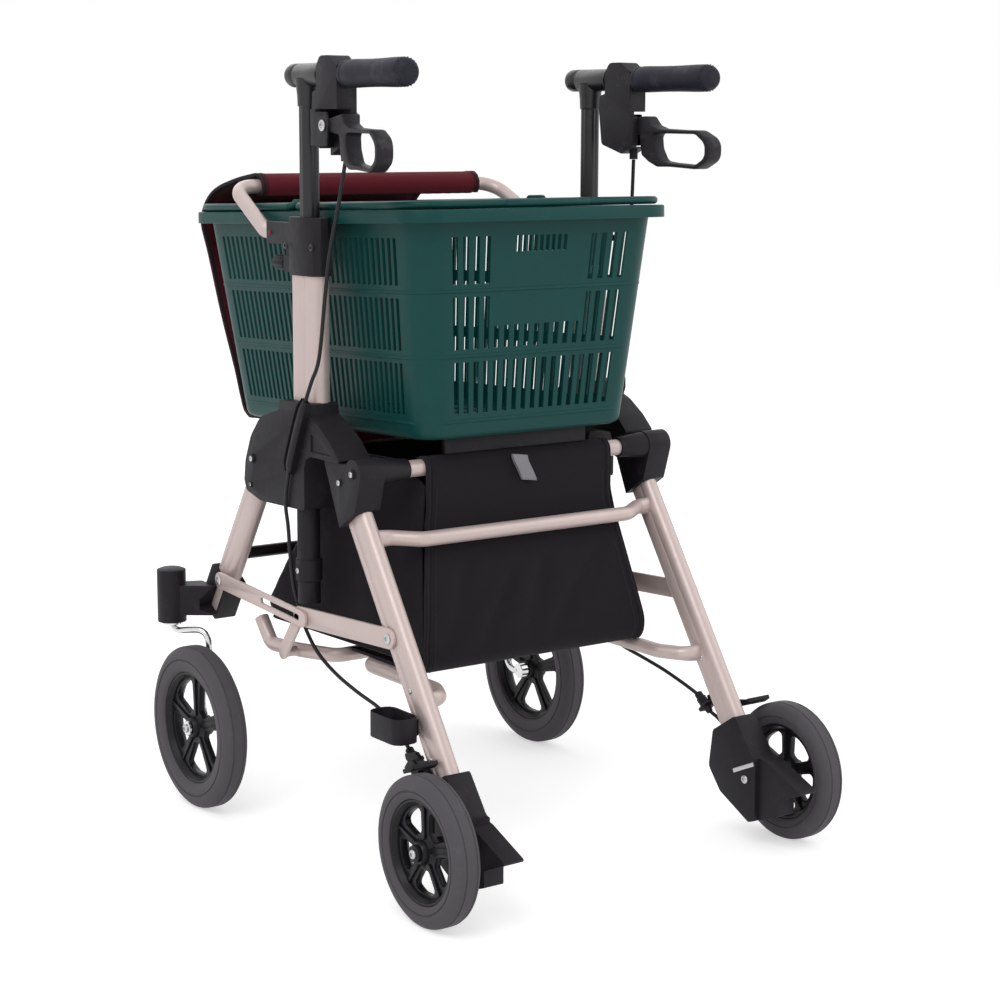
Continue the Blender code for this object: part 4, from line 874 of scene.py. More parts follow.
def mirroredTube(route, radius, bend, flat=0.0):
    whole = [(-x, y, z) for x, y, z in route] + list(reversed(route))
    path = bentPath(whole, bend, 12)
    scales = []
    for spot in path:    # the ends are pressed a little flat where they meet the legs
        near = max(0.0, 1 - (abs(route[0][0]) - abs(spot[0])) / 0.020) if flat else 0.0
        scales.append((1 + flat * near * 0.6, 1 - flat * near))
    return sweep(path, circleOf(radius, 32), (0, 0, 1), scales=scales)


def guideShape():
    r = tubes["guideRadius"]
    wall = [(r - 0.0016, 0.425), (r, 0.425), (r, 0.3345), (r + 0.0022, 0.3325), (r + 0.0022, 0.3090),
            (r, 0.3070), (r, 0.2820), (r - 0.0010, 0.2806), (r - 0.0016, 0.2806)]
    return lathe(wall, "z", (*tubes["guideSpot"], 0), 36, ring=True)


def sleeveShape():
    near, far = tubes["sleeve"]
    r = tubes["seatBarRadius"]
    cover = [(r + 0.0002, near), (0.0115, near), (0.0121, near + 0.0008), (0.0128, near + 0.014),
             (0.0132, near + 0.015), (0.0154, far), (r + 0.0002, far)]
    return lathe(cover, "x", (0, *tubes["rearBar"]), 36, ring=True)


def barShape(name, radius):
    end = tubes[name + "End"]
    return rodOf("x", (0, *tubes[name]), radius, -end, end)


for side in sides:
    low, high = tubes["postEnds"]
    post = sweep([(*tubes["postSpot"], low + (high - low) * i / 6) for i in range(7)],
                 ovalOf(*tubes["postSize"], 16, tubes["groove"], 0.0011), (1, 0, 0))
    addTube("postTube", post, "outer_post", side)
    addTube("rearLegTube", legShape(rearSpot(0.0003), tuple(rearEnd)), "rear_leg", side)
    low, high = (frontSpot(end) for end in tubes["frontEnds"])
    addTube("frontLegTube", legShape(low, high), "front_leg", side, "front_frame")
    addPiece("guideTubeShell", guideShape(), "moulded", "main", ["guide_tube"], side)

for name, route, node in (("rearCrossTube", "crossRoute", "rear_cross_tube"),
                          ("baseTube", "baseRoute", "base_tube")):
    addTube(name, mirroredTube(tubes[route], tubes["crossRadius"], 0.020, 0.30), node)
addTube("guardTube", mirroredTube(tubes["guardRoute"], tubes["guardRadius"], tubes["guardBend"]), "guard_tube")
addTube("rearSeatBar", barShape("rearBar", tubes["seatBarRadius"]), "rear_seat_bar")
addTube("frontSeatBar", barShape("frontBar", tubes["seatBarRadius"]), "front_seat_bar")
# painted shade: the front cross bar takes the black post paint, a dark colour that stands in for the shade and
# the dark reflection of the bag on this tube
addPiece("frontCrossBar", barShape("frontCross", tubes["frontCrossRadius"]), "post", "front_frame",
         ["front_cross_bar"])
for side in sides:
    addPiece("barSleeve", sleeveShape(), "moulded", "main", (), side)
print("frame tubes ready")


# Moulded pieces that keep their CAD shape, with rounded edges: node, body, finish, rounding

moulded = (
    ("bracket", "main", "moulded", 0.0040), ("leg_socket", "main", "moulded", 0.0018),
    ("collar", "main", "moulded", 0.0014), ("wheel_foot", "main", "moulded", 0.0020),
    ("brake_arm", "brake", "moulded", 0.0007), ("caster_housing", "front_frame", "moulded", 0.0014),
    ("brake_housing", "handle", "speckled", 0.0016),
)

for side in sides:
    for node, body, look, width in moulded:
        name = "".join(word.capitalize() for word in node.split("_"))
        addPiece(name, softNode(labels[side] + node, width), look, body, [node], side, inPlace=True)
addPiece("caneCup", softNode("cane_cup", 0.0010), "moulded", "main", ["cane_cup"])

strap = {
    "route": ((0.1864, -0.2320, 0.0870), (0.1862, -0.2340, 0.0879), (0.1862, -0.2640, 0.1019),
              (0.1864, -0.2660, 0.1028)),
    "size": (0.0018, 0.0052),
}
for side in sides:
    band = sweep(strap["route"], ovalOf(*strap["size"], 6), (1, 0, 0))
    addPiece("footStrap", band, "bolt", "main", (), side)
print("moulded pieces ready")


# Folding brace outside the legs

brace = {
    "front": (0.2560, 0.2770),
    "middle": (0.0730, 0.2660),
    "rear": (-0.1170, 0.2760),
    "rearHalf": 0.0115,
    "frontHalf": 0.0100,
    "layers": (0.2128, 0.2168, 0.2171, 0.2211),
    "pullSide": (0.112, 0.2148),
    "pullRoute": ((0.2000, 0.189, 0.2406), (0.1995, 0.166, 0.2130), (0.1960, 0.130, 0.2140),
                  (0.1900, 0.106, 0.2148), (0.1700, 0.066, 0.2140)),
    "pullRadius": 0.0085,
}


def barLoop(start, end, half):    # a bar with round ends
    start, end = Vector(start), Vector(end)
    turn = math.degrees(math.atan2(end.y - start.y, end.x - start.x))
    return arcOf(end, half, turn - 90, turn + 90, 14) + arcOf(start, half, turn + 90, turn + 270, 14)


def placedPlate(outlines, low, high):
    return platedOf(outlines, "x", (0, 0, 0), low, high, 0.0007)


for side in sides:
    front, middle = Vector(brace["front"]), Vector(brace["middle"])
    ahead = (front - middle).normalized()
    slotLoop = barLoop(middle - ahead * 0.004, middle + ahead * 0.078, 0.0035)
    edge = barLoop(front, middle - ahead * 0.012, brace["frontHalf"])
    link = placedPlate([edge, slotLoop], *brace["layers"][2:])
    addTube("frontLinkBar", link, "front_link", side, "front_link")

parts = [mirroredTube(brace["pullRoute"], brace["pullRadius"], 0.016)]
low, high = brace["layers"][:2]
for side in sides:
    for plate in (placedPlate([barLoop(brace["rear"], brace["middle"], brace["rearHalf"])], low, high),
                  placedPlate([barLoop(brace["middle"], brace["pullSide"], 0.0080)], low, high),
                  rodOf("x", (0, *brace["pullSide"]), 0.0060, 0.190, high - 0.001)):
        parts.append(mirrored(plate) if side < 0 else plate)
addTube("rearLinkBars", joinMeshes(parts), "rear_link_frame", body="rear_link")
print("brace ready")


# Handles and height knobs, turned outward a little about each post

handles = {
    "post": (0.1985, 0.068),
    "height": 0.8795,
    "toeOut": 2.1,
    "postRadius": 0.011,
    "postBottom": 0.545,
    "fittingRadius": 0.0132,
    "fittingFront": 0.106,
    "gripRadius": 0.0155,
    "gripEnds": (-0.020, -0.150),
    "knobZ": 0.6695,
    "knobRadius": 0.009,
    "knobEnds": (0.1125, 0.140),
}
postPlace = Matrix.Translation((*handles["post"], 0))
toe = postPlace @ Matrix.Rotation(math.radians(handles["toeOut"]), 4, "Z") @ postPlace.inverted()


def toed(mesh):
    mesh.transform(toe)
    return mesh


def flutedLoop(radius, depth, flutes, count):
    loop = []
    for i in range(count):
        turn = 2 * math.pi * i / count
        reach = radius - depth * max(0.0, math.cos(flutes * turn)) ** 3
        loop.append((reach * math.cos(turn), reach * math.sin(turn)))
    return loop


def handlePostShape():
    x, y = handles["post"]
    top, radius, fit = handles["height"], handles["postRadius"], handles["fittingRadius"]
    ladder = [handles["postBottom"] + (top - handles["postBottom"]) * i / 8 for i in range(9)]
    post = sweep([(x, y, z) for z in ladder], flutedLoop(radius, 0.0008, 4, 64), (1, 0, 0))
    front = handles["fittingFront"]
    end = handles["gripEnds"][1] + 0.012
    profile = [(0, front), (0.0070, front - 0.0002), (0.0100, front - 0.0014), (0.0122, front - 0.0038),
               (fit, front - 0.0070), (fit, front - 0.0200), (fit - 0.0005, front - 0.0207),
               (fit - 0.0005, front - 0.0217), (fit, front - 0.0224), (fit, 0.0310), (fit - 0.0010, 0.0300),
               (0.0110, 0.0300), (0.0110, end), (0, end)]
    fitting = lathe(profile, "y", (x, 0, top), 48)
    gusset = lathe([(0, top - 0.0345), (0.0116, top - 0.0345), (0.0124, top - 0.0335), (0.0128, top - 0.022),
                    (0.0142, top - 0.010), (0.0146, top - 0.004), (0, top - 0.004)], "z", (x, y, 0), 48)
    return toed(joinMeshes([post, fitting, gusset]))


def gripShape():
    front, end = handles["gripEnds"]
    full = handles["gripRadius"]
    centre = Vector((handles["post"][0], 0, handles["height"]))
    profile = [(0.0112, front), (0.0138, front), (0.0146, front - 0.0008), (0.0150, front - 0.0030),
               (0.0150, front - 0.0052), (0.0144, front - 0.0058), (0.0145, front - 0.0068),
               (full - 0.0002, front - 0.0120)]
    profile += [(full - 0.0007 * math.sin(math.pi * i / 9), front - 0.012 - i * (front - end - 0.042) / 9)
                for i in range(1, 10)]
    profile += [(full, end + 0.024), (full - 0.0001, end + 0.0120), (full - 0.0012, end + 0.0062),
                (full - 0.0034, end + 0.0024), (0.0090, end + 0.0004), (0.0040, end), (0, end)]
    rubber = lathe(profile, "y", centre, 56)
    dimple = lathe([(0.00105, -0.0002), (0.0009, 0.00018), (0.0005, 0.00042), (0, 0.0005)], "z", (0, 0, 0), 7)
    spots = []
    for row in range(7):
        along = end + 0.0085 + row * 0.0030
        for i in range(22):
            turn = 2 * math.pi * (i + 0.5 * (row % 2)) / 22
            out = Vector((math.cos(turn), 0, math.sin(turn)))
            spots.append((centre + out * (full - 0.0004) + Vector((0, along, 0)), out))
    for ring, many in ((0.0085, 12), (0.0055, 8), (0.0025, 4)):
        for i in range(many):
            turn = 2 * math.pi * i / many
            spots.append((centre + Vector((ring * math.cos(turn), end + 0.0002, ring * math.sin(turn))),
                          (0, -1, 0)))
    return toed(joinMeshes([rubber, copiesOf(dimple, spots, "grip")]))


def knobShape():
    back, front = handles["knobEnds"]
    x, z = handles["post"][0], handles["knobZ"]
    loop = [(x + u, z + v) for u, v in flutedLoop(handles["knobRadius"], 0.0014, 9, 90)]
    cap = bevelled(slabOf(loop, "y", back + 0.004, front), 0.0011, 3, 50)
    stem = rodOf("y", (x, 0, z), 0.0060, back, back + 0.006)
    dish = lathe([(0.0045, front - 0.0004), (0.0050, front + 0.0002), (0.0056, front + 0.0002),
                  (0.0060, front - 0.0006)], "y", (x, 0, z), 30, ring=True)
    return joinMeshes([cap, stem, dish])


levers = {
    "layer": (0.1945, 0.2150),
    "pivot": (0.0010, 0.055),
    "flare": 0.135,
    "bend": -0.030,
    "edge": (((0.0090, 0.0497), 0.002), ((-0.0350, 0.0425), 0.004), ((-0.0440, 0.0530), 0.006),
             ((-0.0560, 0.0572), 0.006), ((-0.0860, 0.0586), 0.010), ((-0.1120, 0.0590), 0.016),
             ((-0.1338, 0.0700), 0.016), ((-0.1336, 0.0925), 0.014), ((-0.1140, 0.1038), 0.016),
             ((-0.0740, 0.1014), 0.010), ((-0.0540, 0.1016), 0.008), ((-0.0420, 0.0962), 0.008),
             ((-0.0305, 0.0880), 0.004), ((-0.0272, 0.0648), 0.003), ((0.0090, 0.0603), 0.002)),
    "hole": (((-0.0460, 0.0626), 0.006), ((-0.1110, 0.0634), 0.011), ((-0.1256, 0.0745), 0.012),
             ((-0.1255, 0.0900), 0.010), ((-0.1110, 0.0992), 0.011), ((-0.0720, 0.0966), 0.010),
             ((-0.0560, 0.0945), 0.010), ((-0.0480, 0.0800), 0.012)),
}


def leverShape():
    loops = []
    for name in ("edge", "hole"):
        corners = [(y, handles["height"] - drop) for (y, drop), _ in levers[name]]
        loops.append(roundedLoop(corners, [radius for _, radius in levers[name]], 6))
    pivotY, drop = levers["pivot"]
    loops.append([(pivotY + u, handles["height"] - drop + v) for u, v in circleOf(0.0032, 20)])
    low, high = levers["layer"]

    def bendOut(work):    # the loop slants away from the grip behind the bend
        bmesh.ops.bisect_plane(work, geom=work.verts[:] + work.edges[:] + work.faces[:],
                               plane_co=(0, levers["bend"], 0), plane_no=(0, 1, 0))
        for spot in work.verts:
            spot.co.x += levers["flare"] * max(0.0, levers["bend"] - spot.co.y)
    return toed(reworked(platedOf(loops, "x", (0, 0, 0), low, high, 0.0022), bendOut))


for side in sides:
    addPiece("brakeLever", leverShape(), "speckled", "lever", ["brake_lever"], side)
    addPiece("handlePost", handlePostShape(), "post", "handle", ["handle_post"], side)
    addPiece("gripRubber", gripShape(), "grip", "handle", ["grip"], side)
    addPiece("heightKnob", knobShape(), "moulded", "knob", ["height_knob"], side)
    cap = [(0, 0.0012), (0.0016, 0.0011), (0.0027, 0.0007), (0.0031, 0.0), (0.0031, -0.0006), (0, -0.0006)]
    mark = lathe(cap, "x", (0.2108, 0.1370, 0.7035), 20)
    addPiece("guardMark", mark, "redMark", "main", (), side)
print("handles ready")


# Casters: a bent round bar with its stem, eye and axle

casters = {
    "x": 0.254,
    "y": 0.3176,
    "low": 0.2192,
    "route": ((0.254, 0.3176, 0.2182), (0.254, 0.3146, 0.2127), (0.253, 0.302, 0.2102), (0.246, 0.287, 0.2125),
              (0.238, 0.2745, 0.2130), (0.2330, 0.2670, 0.2060), (0.232, 0.2640, 0.1880),
              (0.232, 0.2745, 0.1500), (0.232, 0.2830, 0.1240), (0.232, 0.2780, 0.1040),
              (0.232, 0.2640, 0.0970), (0.232, 0.2552, 0.0996)),
    "barRadius": 0.004,
}


def casterShape():
    bar = sweep(flowPath(casters["route"], 0.004), circleOf(casters["barRadius"], 20), (1, 0, 0))
    low = casters["low"]
    stem = lathe([(0, 0.2705), (0.0054, 0.2705), (0.0060, 0.2699), (0.0060, low), (0.0118, low),
                  (0.0125, low - 0.0006), (0.0125, low - 0.0026), (0.0118, low - 0.0032),
                  (0.0062, low - 0.0038), (0.0055, low - 0.0045), (0, low - 0.0045)], "z",
                  (casters["x"], casters["y"], 0), 40)
    centre = (0, *wheels["front"]["axle"])
    eye = rodOf("x", centre, 0.0095, 0.2285, 0.2394, 36, 0.0006)
    axle = rodOf("x", centre, 0.0045, 0.232, 0.269)
    head = rodOf("x", centre, 0.0088, 0.2685, 0.2720, 36, 0.0006)
    return joinMeshes([bar, stem, eye, axle, head])


for side in sides:
    addPiece("casterBar", casterShape(), "chrome", "caster", ["caster_fork"], side)
print("casters ready")


# Basket, made in its own level frame and then tilted

basket = {
    "place": (0, 0.137, 0.7229),
    "tilt": 2.13,
    "top": (0.170, 0.242),
    "bottom": (0.1436, 0.2098),
    "corner": 0.034,
    "depth": 0.2493,
    "wall": 0.0028,
    "rim": (0.1825, 0.2575, 0.040),
    "rows": ((-0.078, -0.026), (-0.150, -0.092), (-0.222, -0.164)),
    "sidePitch": 0.0115,
    "sideSlot": 0.0060,
    "endPitch": 0.0150,
    "endSlot": 0.0075,
    "plainHalf": 0.072,
    "plainRows": (-0.125, -0.044),
    "handPitch": 0.0084,
    "handSlot": 0.0050,
    "handSlots": 9,
    "bailHalf": (0.178, 0.2470),
    "bailRadius": 0.0045,
    "bailPivot": 0.008,
    "bailHeight": 0.0095,
    "earInner": 0.166,
    "gussetPitch": 0.034,
    "floorHole": (0.0042, 0.0200, 0.0040),      # half width, half length, corner
    "floorPitch": (0.0270, 0.0540),
    "bands": (-0.0850, -0.1570, -0.2300),
    "rest": (0.100, 0.004, 0.0129),      # half width, half depth and height over the rear seat bar's centre
}
basketTurn = Matrix.Translation(basket["place"]) @ Matrix.Rotation(math.radians(-basket["tilt"]), 4, "X")


def slotEdges(pitch, width, half):    # the two edges of each slot that fits within half
    edges, k = [], 0
    while k * pitch + width / 2 <= half:
        for centre in {k * pitch, -k * pitch}:
            edges.append((centre - width / 2, centre + width / 2))
        k += 1
    return edges


def basketHalf(z):    # half the width and length of the wall at a height
    share = -z / basket["depth"]
    return tuple(top + (bottom - top) * share for top, bottom in zip(basket["top"], basket["bottom"]))


def inSlots(edges, spot):
    return any(low < spot < high for low, high in edges)


def cutMarks(slots, flat):    # where the columns of faces begin along one wall
    marks = sorted({round(edge, 5) for slot in slots for edge in slot} | {-flat, flat})
    kept = [marks[0]]
    for mark in marks[1:]:
        if mark - kept[-1] > 0.0004:
            kept.append(mark)
    kept[-1] = flat
    return kept


def wallColumns(slots, flatX, flatY):    # wall, place along it, point at the top edge
    halfX, halfY = basket["top"]
    sideMarks, endMarks = cutMarks(slots["side"], flatY), cutMarks(slots["end"] + slots["hand"], flatX)
    walls = (("side", sideMarks, lambda t: (halfX, t), (flatX, flatY)),
             ("end", endMarks, lambda t: (-t, halfY), (-flatX, flatY)),
             ("side", sideMarks, lambda t: (-halfX, -t), (-flatX, -flatY)),
             ("end", endMarks, lambda t: (t, -halfY), (flatX, -flatY)))
    columns = []
    for i, (kind, marks, at, centre) in enumerate(walls):
        columns += [(kind, mark, at(mark)) for mark in marks]
        rounding = arcOf(centre, basket["corner"], 90 * i, 90 * i + 90, 8)[1:-1]
        columns += [("corner", 0, spot) for spot in rounding]
    return columns


def isSlot(kind, spot, level, slots):
    row = next((k for k, (low, high) in enumerate(basket["rows"]) if low < level < high), None)
    if row is None:
        return False
    if kind == "side":
        return inSlots(slots["side"], spot)
    if abs(spot) < basket["plainHalf"]:    # the middle of an end has a hand hole over a plain field
        if row == 0:
            return level > basket["plainRows"][1] and inSlots(slots["hand"], spot)
        if row == 1 and level >= basket["plainRows"][0]:
            return False
    return inSlots(slots["end"], spot)


def basketWall():
    halfX, halfY = basket["top"]
    flatX, flatY = halfX - basket["corner"], halfY - basket["corner"]
    handHalf = basket["handPitch"] * basket["handSlots"] / 2
    slots = {"side": slotEdges(basket["sidePitch"], basket["sideSlot"], flatY),
             "end": slotEdges(basket["endPitch"], basket["endSlot"], flatX),
             "hand": slotEdges(basket["handPitch"], basket["handSlot"], handHalf)}
    columns, low = wallColumns(slots, flatX, flatY), -basket["depth"]
    levels = {0.0, -0.012, low + 0.0075, *basket["plainRows"],
              *(edge for row in basket["rows"] for edge in row)}
    rings = [(z, 0.0) for z in sorted(levels, reverse=True)]    # height, and how far the rounding draws in
    rings += [(low + 0.0045, 0.0006), (low + 0.0020, 0.0020), (low + 0.0006, 0.0044), (low + 0.0001, 0.0075)]
    points = []
    for z, inset in rings:
        wideX, wideY = basketHalf(z)
        points += [(x * (wideX - inset) / halfX, y * (wideY - inset) / halfY, z) for _, _, (x, y) in columns]
    count = len(columns)
    faces, opened = [], []
    for i in range(len(rings) - 1):
        level = (rings[i][0] + rings[i + 1][0]) / 2
        for j, (kind, mark, _) in enumerate(columns):
            after = (j + 1) % count
            faces.append([i * count + j, (i + 1) * count + j, (i + 1) * count + after, i * count + after])
            nextKind, nextMark, _ = columns[after]
            flat = kind == nextKind != "corner" and nextMark > mark
            opened.append(flat and isSlot(kind, (mark + nextMark) / 2, level, slots))
    mesh = bpy.data.meshes.new("wall")
    mesh.from_pydata(points, [], faces)
    mesh.attributes.new("open", "BOOLEAN", "FACE").data.foreach_set("value", opened)
    return grown(mesh, "slotting", Wall=basket["wall"], Finish=finishes["basket"])


def loftRings(rings):    # each ring is half width, half length, corner radius and height
    points, faces = [], []
    for halfX, halfY, corner, z in rings:
        points += [(x, y, z) for x, y in roundedBox(halfX, halfY, corner)]
    size = len(points) // len(rings)
    for i in range(len(rings)):
        for j in range(size):
            after = (j + 1) % size
            up = (i + 1) % len(rings) * size
            faces.append([i * size + j, i * size + after, up + after, up + j])
    return meshOf(points, faces)


def basketRim():
    x, y, corner = basket["rim"]
    inX, inY = basket["top"]
    wall, bend = basket["wall"], basket["corner"]
    rings = [(inX - wall, inY - wall, bend - wall, -0.004), (inX - wall, inY - wall, bend - wall, 0.0032),
             (inX - wall + 0.0008, inY - wall + 0.0008, bend - wall, 0.0040)]
    for inset, z in ((0.0016, 0.0040), (0.0004, 0.0034), (0, 0.0022), (0, -0.0094), (0.0006, -0.0100),
                     (0.0018, -0.0100), (0.0024, -0.0092), (0.0024, 0.0014)):
        rings.append((x - inset, y - inset, corner - inset, z))
    return loftRings(rings + [(inX, inY, bend, 0.0014), (inX, inY, bend, -0.004)])


def basketFloor():
    halfX, halfY = basket["bottom"][0] - 0.0050, basket["bottom"][1] - 0.0050
    outlines = [roundedBox(halfX, halfY, basket["corner"] - 0.006)]
    hole = roundedBox(*basket["floorHole"], 3)
    pitchX, pitchY = basket["floorPitch"]
    for i in range(-4, 5):
        for j in range(-3, 4):
            outlines.append([(x + i * pitchX, y + j * pitchY) for x, y in hole])
    return platedOf(outlines, "z", (0, 0, 0), -basket["depth"], -basket["depth"] + 0.0028, 0.0005)


def basketGussets():
    shape = slabOf([(0, -0.0090), (0, 0.0006), (0.0102, 0.0006), (0.0102, -0.0010)], "y", -0.0008, 0.0008)
    halfX, halfY = basket["top"]
    flatX, flatY = halfX - basket["corner"], halfY - basket["corner"]
    spots = []
    for onSide, flat, half in ((True, flatY, halfX), (False, flatX, halfY)):
        many = int(2 * flat / basket["gussetPitch"])
        for i in range(many + 1):
            t = -flat + 2 * flat * i / many
            for way in (-1, 1):
                spot, out = Vector((way * half, t, 0)), Vector((way, 0, 0))
                spots.append((spot, (0, 0, 1), out) if onSide else (spot.yxz, (0, 0, 1), out.yxz))
    return copiesOf(shape, spots, "basket")


def basketShape():
    parts = [basketWall(), basketRim(), basketFloor(), basketGussets()]
    for way in (-1, 1):
        low, high = sorted((way * basket["earInner"], way * (basket["earInner"] + 0.006)))
        loop = roundedLoop([(-0.017, 0.002), (0.017, 0.002), (0.017, 0.0175), (-0.017, 0.0175)],
                           [0.0005, 0.0005, 0.006, 0.006], 5)
        parts.append(bevelled(slabOf(loop, "x", low, high), 0.0006, 2))
    for z in basket["bands"]:    # raised bands round the wall
        halfX, halfY = basketHalf(z)
        parts.append(loftRings([(halfX + out, halfY + out, basket["corner"], z + rise) for out, rise in (
            (-0.0008, 0.0022), (0.0007, 0.0014), (0.0009, -0.0014), (-0.0006, -0.0022))]))
    whole = joinMeshes(parts)
    whole.transform(basketTurn)
    return whole


def restShape():    # the low rib that stands on the bar behind
    halfX, halfY, rise = basket["rest"]
    local = basketTurn.inverted() @ Vector((0, tubes["rearBar"][0], tubes["rearBar"][1] + rise))
    rib = bevelled(slabOf(roundedBox(halfX, halfY, 0.002, 3), "z", local.z, -basket["depth"] + 0.001), 0.0006)
    rib.transform(basketTurn @ Matrix.Translation((0, local.y, 0)))
    return rib


def bailShape(way):
    inner, (halfX, halfY) = basket["earInner"], basket["bailHalf"]
    start, high = way * basket["bailPivot"], basket["bailHeight"]
    half = [(inner, start, high), (halfX, start, high), (halfX, way * halfY, high)]
    path = bentPath(half + [(-x, y, z) for x, y, z in reversed(half)], [0.005, 0.045, 0.045, 0.005], 12)
    bar = sweep(path, circleOf(basket["bailRadius"], 20), (0, 0, 1))
    y = way * halfY
    hold = sweep([(x, y, high) for x in (-0.058, -0.056, -0.030, 0, 0.030, 0.056, 0.058)],
                 ovalOf(0.0094, 0.0118, 10), (0, 0, 1), scales=[(0.9, 0.8)] + [(1, 1)] * 5 + [(0.9, 0.8)])
    mesh = joinMeshes([bar, hold])
    mesh.transform(basketTurn)
    return mesh


addPiece("basketShell", basketShape(), "basket", "basket", ["basket"], crease=32)
addPiece("basketRest", restShape(), "moulded", "basket")
addPiece("frontBail", bailShape(1), "basket", "basket", ["front_bail"])
addPiece("rearBail", bailShape(-1), "basket", "rear_bail", ["rear_bail"])
print("basket ready")


# Foam sleeve on the guard tube and the sling hung from it

sling = {
    "sleeveSpot": (0.260, 0.752),
    "sleeveHalf": 0.1555,
    "sleeveRadius": 0.0125,
    "wrapRadius": 0.0145,
    "high": ((0.300, 0.7610), (0.328, 0.7555), (0.356, 0.7485), (0.378, 0.7390), (0.395, 0.7240),
             (0.4035, 0.7020), (0.3965, 0.6720), (0.3880, 0.6300), (0.3740, 0.5650), (0.3610, 0.5050),
             (0.3550, 0.4800), (0.3480, 0.4690)),
    "under": (0.336, 0.320, 0.260, 0.200, 0.155, 0.135),
    "underGap": 0.0017,
    "barWrap": 0.0115,
    "half": 0.1575,
    "taper": 0.0275,
    "taperFrom": 0.705,
    "taperOver": 0.22,
    "waveDepth": 0.0016,
    "thickness": 0.0022,
    "rows": 92,
    "columns": 37,
}


def evenly(path, count):    # the same path at equal steps
    path = [Vector(spot) for spot in path]
    runs = [0.0]
    for one, two in zip(path, path[1:]):
        runs.append(runs[-1] + (two - one).length)
    spots, at = [], 0
    for i in range(count):
        want = runs[-1] * i / (count - 1)
        while at < len(path) - 2 and runs[at + 1] < want:
            at += 1
        span = max(runs[at + 1] - runs[at], 1e-9)
        spots.append(path[at].lerp(path[at + 1], min(1.0, (want - runs[at]) / span)))
    return spots


# A sheet whose middle runs through the rows of points. It comes with its flat width and length, and its area.
def clothSheet(rows, thickness):
    many, wide = len(rows), len(rows[0])
    middle = wide // 2
    points, uvs, widest, area = [], [], 0.0, 0.0
    for way in (1, -1):
        down = 0.0
        for i, row in enumerate(rows):
            down += (row[middle] - rows[i - 1][middle]).length if i else 0.0
            runs = [0.0]
            for one, two in zip(row, row[1:]):
                runs.append(runs[-1] + (two - one).length)
            widest = max(widest, runs[-1])
            for j, spot in enumerate(row):
                along = rows[min(i + 1, many - 1)][j] - rows[max(i - 1, 0)][j]
                across = row[min(j + 1, wide - 1)] - row[max(j - 1, 0)]
                points.append(spot + across.cross(along).normalized() * way * thickness / 2)
                uvs.append((runs[j] - runs[middle], down))
    back = many * wide
    faces = []
    for i in range(many - 1):
        for j in range(wide - 1):
            one, two = i * wide + j, (i + 1) * wide + j
            faces.append([one, two, two + 1, one + 1])
            faces.append([back + one, back + one + 1, back + two + 1, back + two])
            diagonal = (rows[i + 1][j + 1] - rows[i][j]).cross(rows[i][j + 1] - rows[i + 1][j])
            area += diagonal.length / 2
        for one in (i * wide, (i + 1) * wide - 1):
            faces.append([one, back + one, back + one + wide, one + wide])
    for j in range(wide - 1):
        for i in (0, many - 1):
            one = i * wide + j
            faces.append([one, one + 1, back + one + 1, back + one])
    measured = (0, middle, wide - 1)
    longest = max(sum((two[j] - one[j]).length for one, two in zip(rows, rows[1:])) for j in measured)
    return meshOf(points, faces, uvs), (widest, longest), area


def ramp(value):
    return min(1.0, max(0.0, value))


def inPlane(spots):    # points (y, z) in the middle plane
    return [Vector((0, *spot)) for spot in spots]


def edgeBindings(rows, inset, width=0.0072, depth=0.0034):    # tapes folded over both side edges of a cloth
    left = [row[0] + Vector((inset, 0, 0)) for row in rows]
    right = [row[-1] - Vector((inset, 0, 0)) for row in rows]
    return joinMeshes([sweep(line, ovalOf(width, depth, 6), (1, 0, 0)) for line in (left, right)])


def basketUnder(y):
    spot = basketTurn @ Vector((0, 0, -basket["depth"]))
    return spot.z - math.tan(math.radians(basket["tilt"])) * (y - spot.y) - sling["underGap"]


def slingRow(spot):    # slack waves where the cloth hangs free
    half = sling["half"] - sling["taper"] * ramp((sling["taperFrom"] - spot.z) / sling["taperOver"])
    free = ramp((spot.z - 0.49) / 0.03) * ramp((0.745 - spot.z) / 0.03)
    row = []
    for j in range(sling["columns"]):
        x = half * (2 * j / (sling["columns"] - 1) - 1)
        wave = math.sin(x * 21 + spot.z * 9) * math.cos(x * 47 - spot.z * 31)
        row.append(spot + Vector((x, sling["waveDepth"] * free * wave, 0)))
    return row


firstUnder = sling["under"][0]
path = inPlane(arcOf(sling["sleeveSpot"], sling["wrapRadius"], 225, 78, 12))
meeting = (0, firstUnder, basketUnder(firstUnder) - 0.0008)
path += flowPath([path[-1], *inPlane(sling["high"]), meeting], 0.011)[1:]
path += inPlane([(y, basketUnder(y)) for y in sling["under"][1:-1]])
path += inPlane(arcOf(tubes["frontBar"], sling["barWrap"], 90, 200, 8))
rows = [slingRow(spot) for spot in evenly(path, sling["rows"])]
mesh, flat, area = clothSheet(rows, sling["thickness"])
cloth = addPiece("slingCloth", mesh, "burgundy", "main", ["basket_sling"])
tapes = addPiece("slingBinding", edgeBindings(rows, 0.0030), "binding", "main")
print("sling", round(flat[0], 3), round(flat[1], 3), round(area, 4))

end, full = sling["sleeveHalf"], sling["sleeveRadius"]
foam = [(0.0087, -end), (0.0112, -end), (0.0122, -end + 0.0012), (full, -end + 0.0035)]
foam += [(full - 0.00025 * (i % 2), -end + 0.006 + i * (2 * end - 0.012) / 40) for i in range(41)]
foam += [(full, end - 0.0035), (0.0122, end - 0.0012), (0.0112, end), (0.0087, end)]
foamTube = lathe(foam, "x", (0, *sling["sleeveSpot"]), 40, ring=True)
sleeve = addPiece("guardFoam", foamTube, "foam", "main", ["guard_sleeve"])


# Bag: a rear panel that turns under as its floor, and a skirt of sides and front

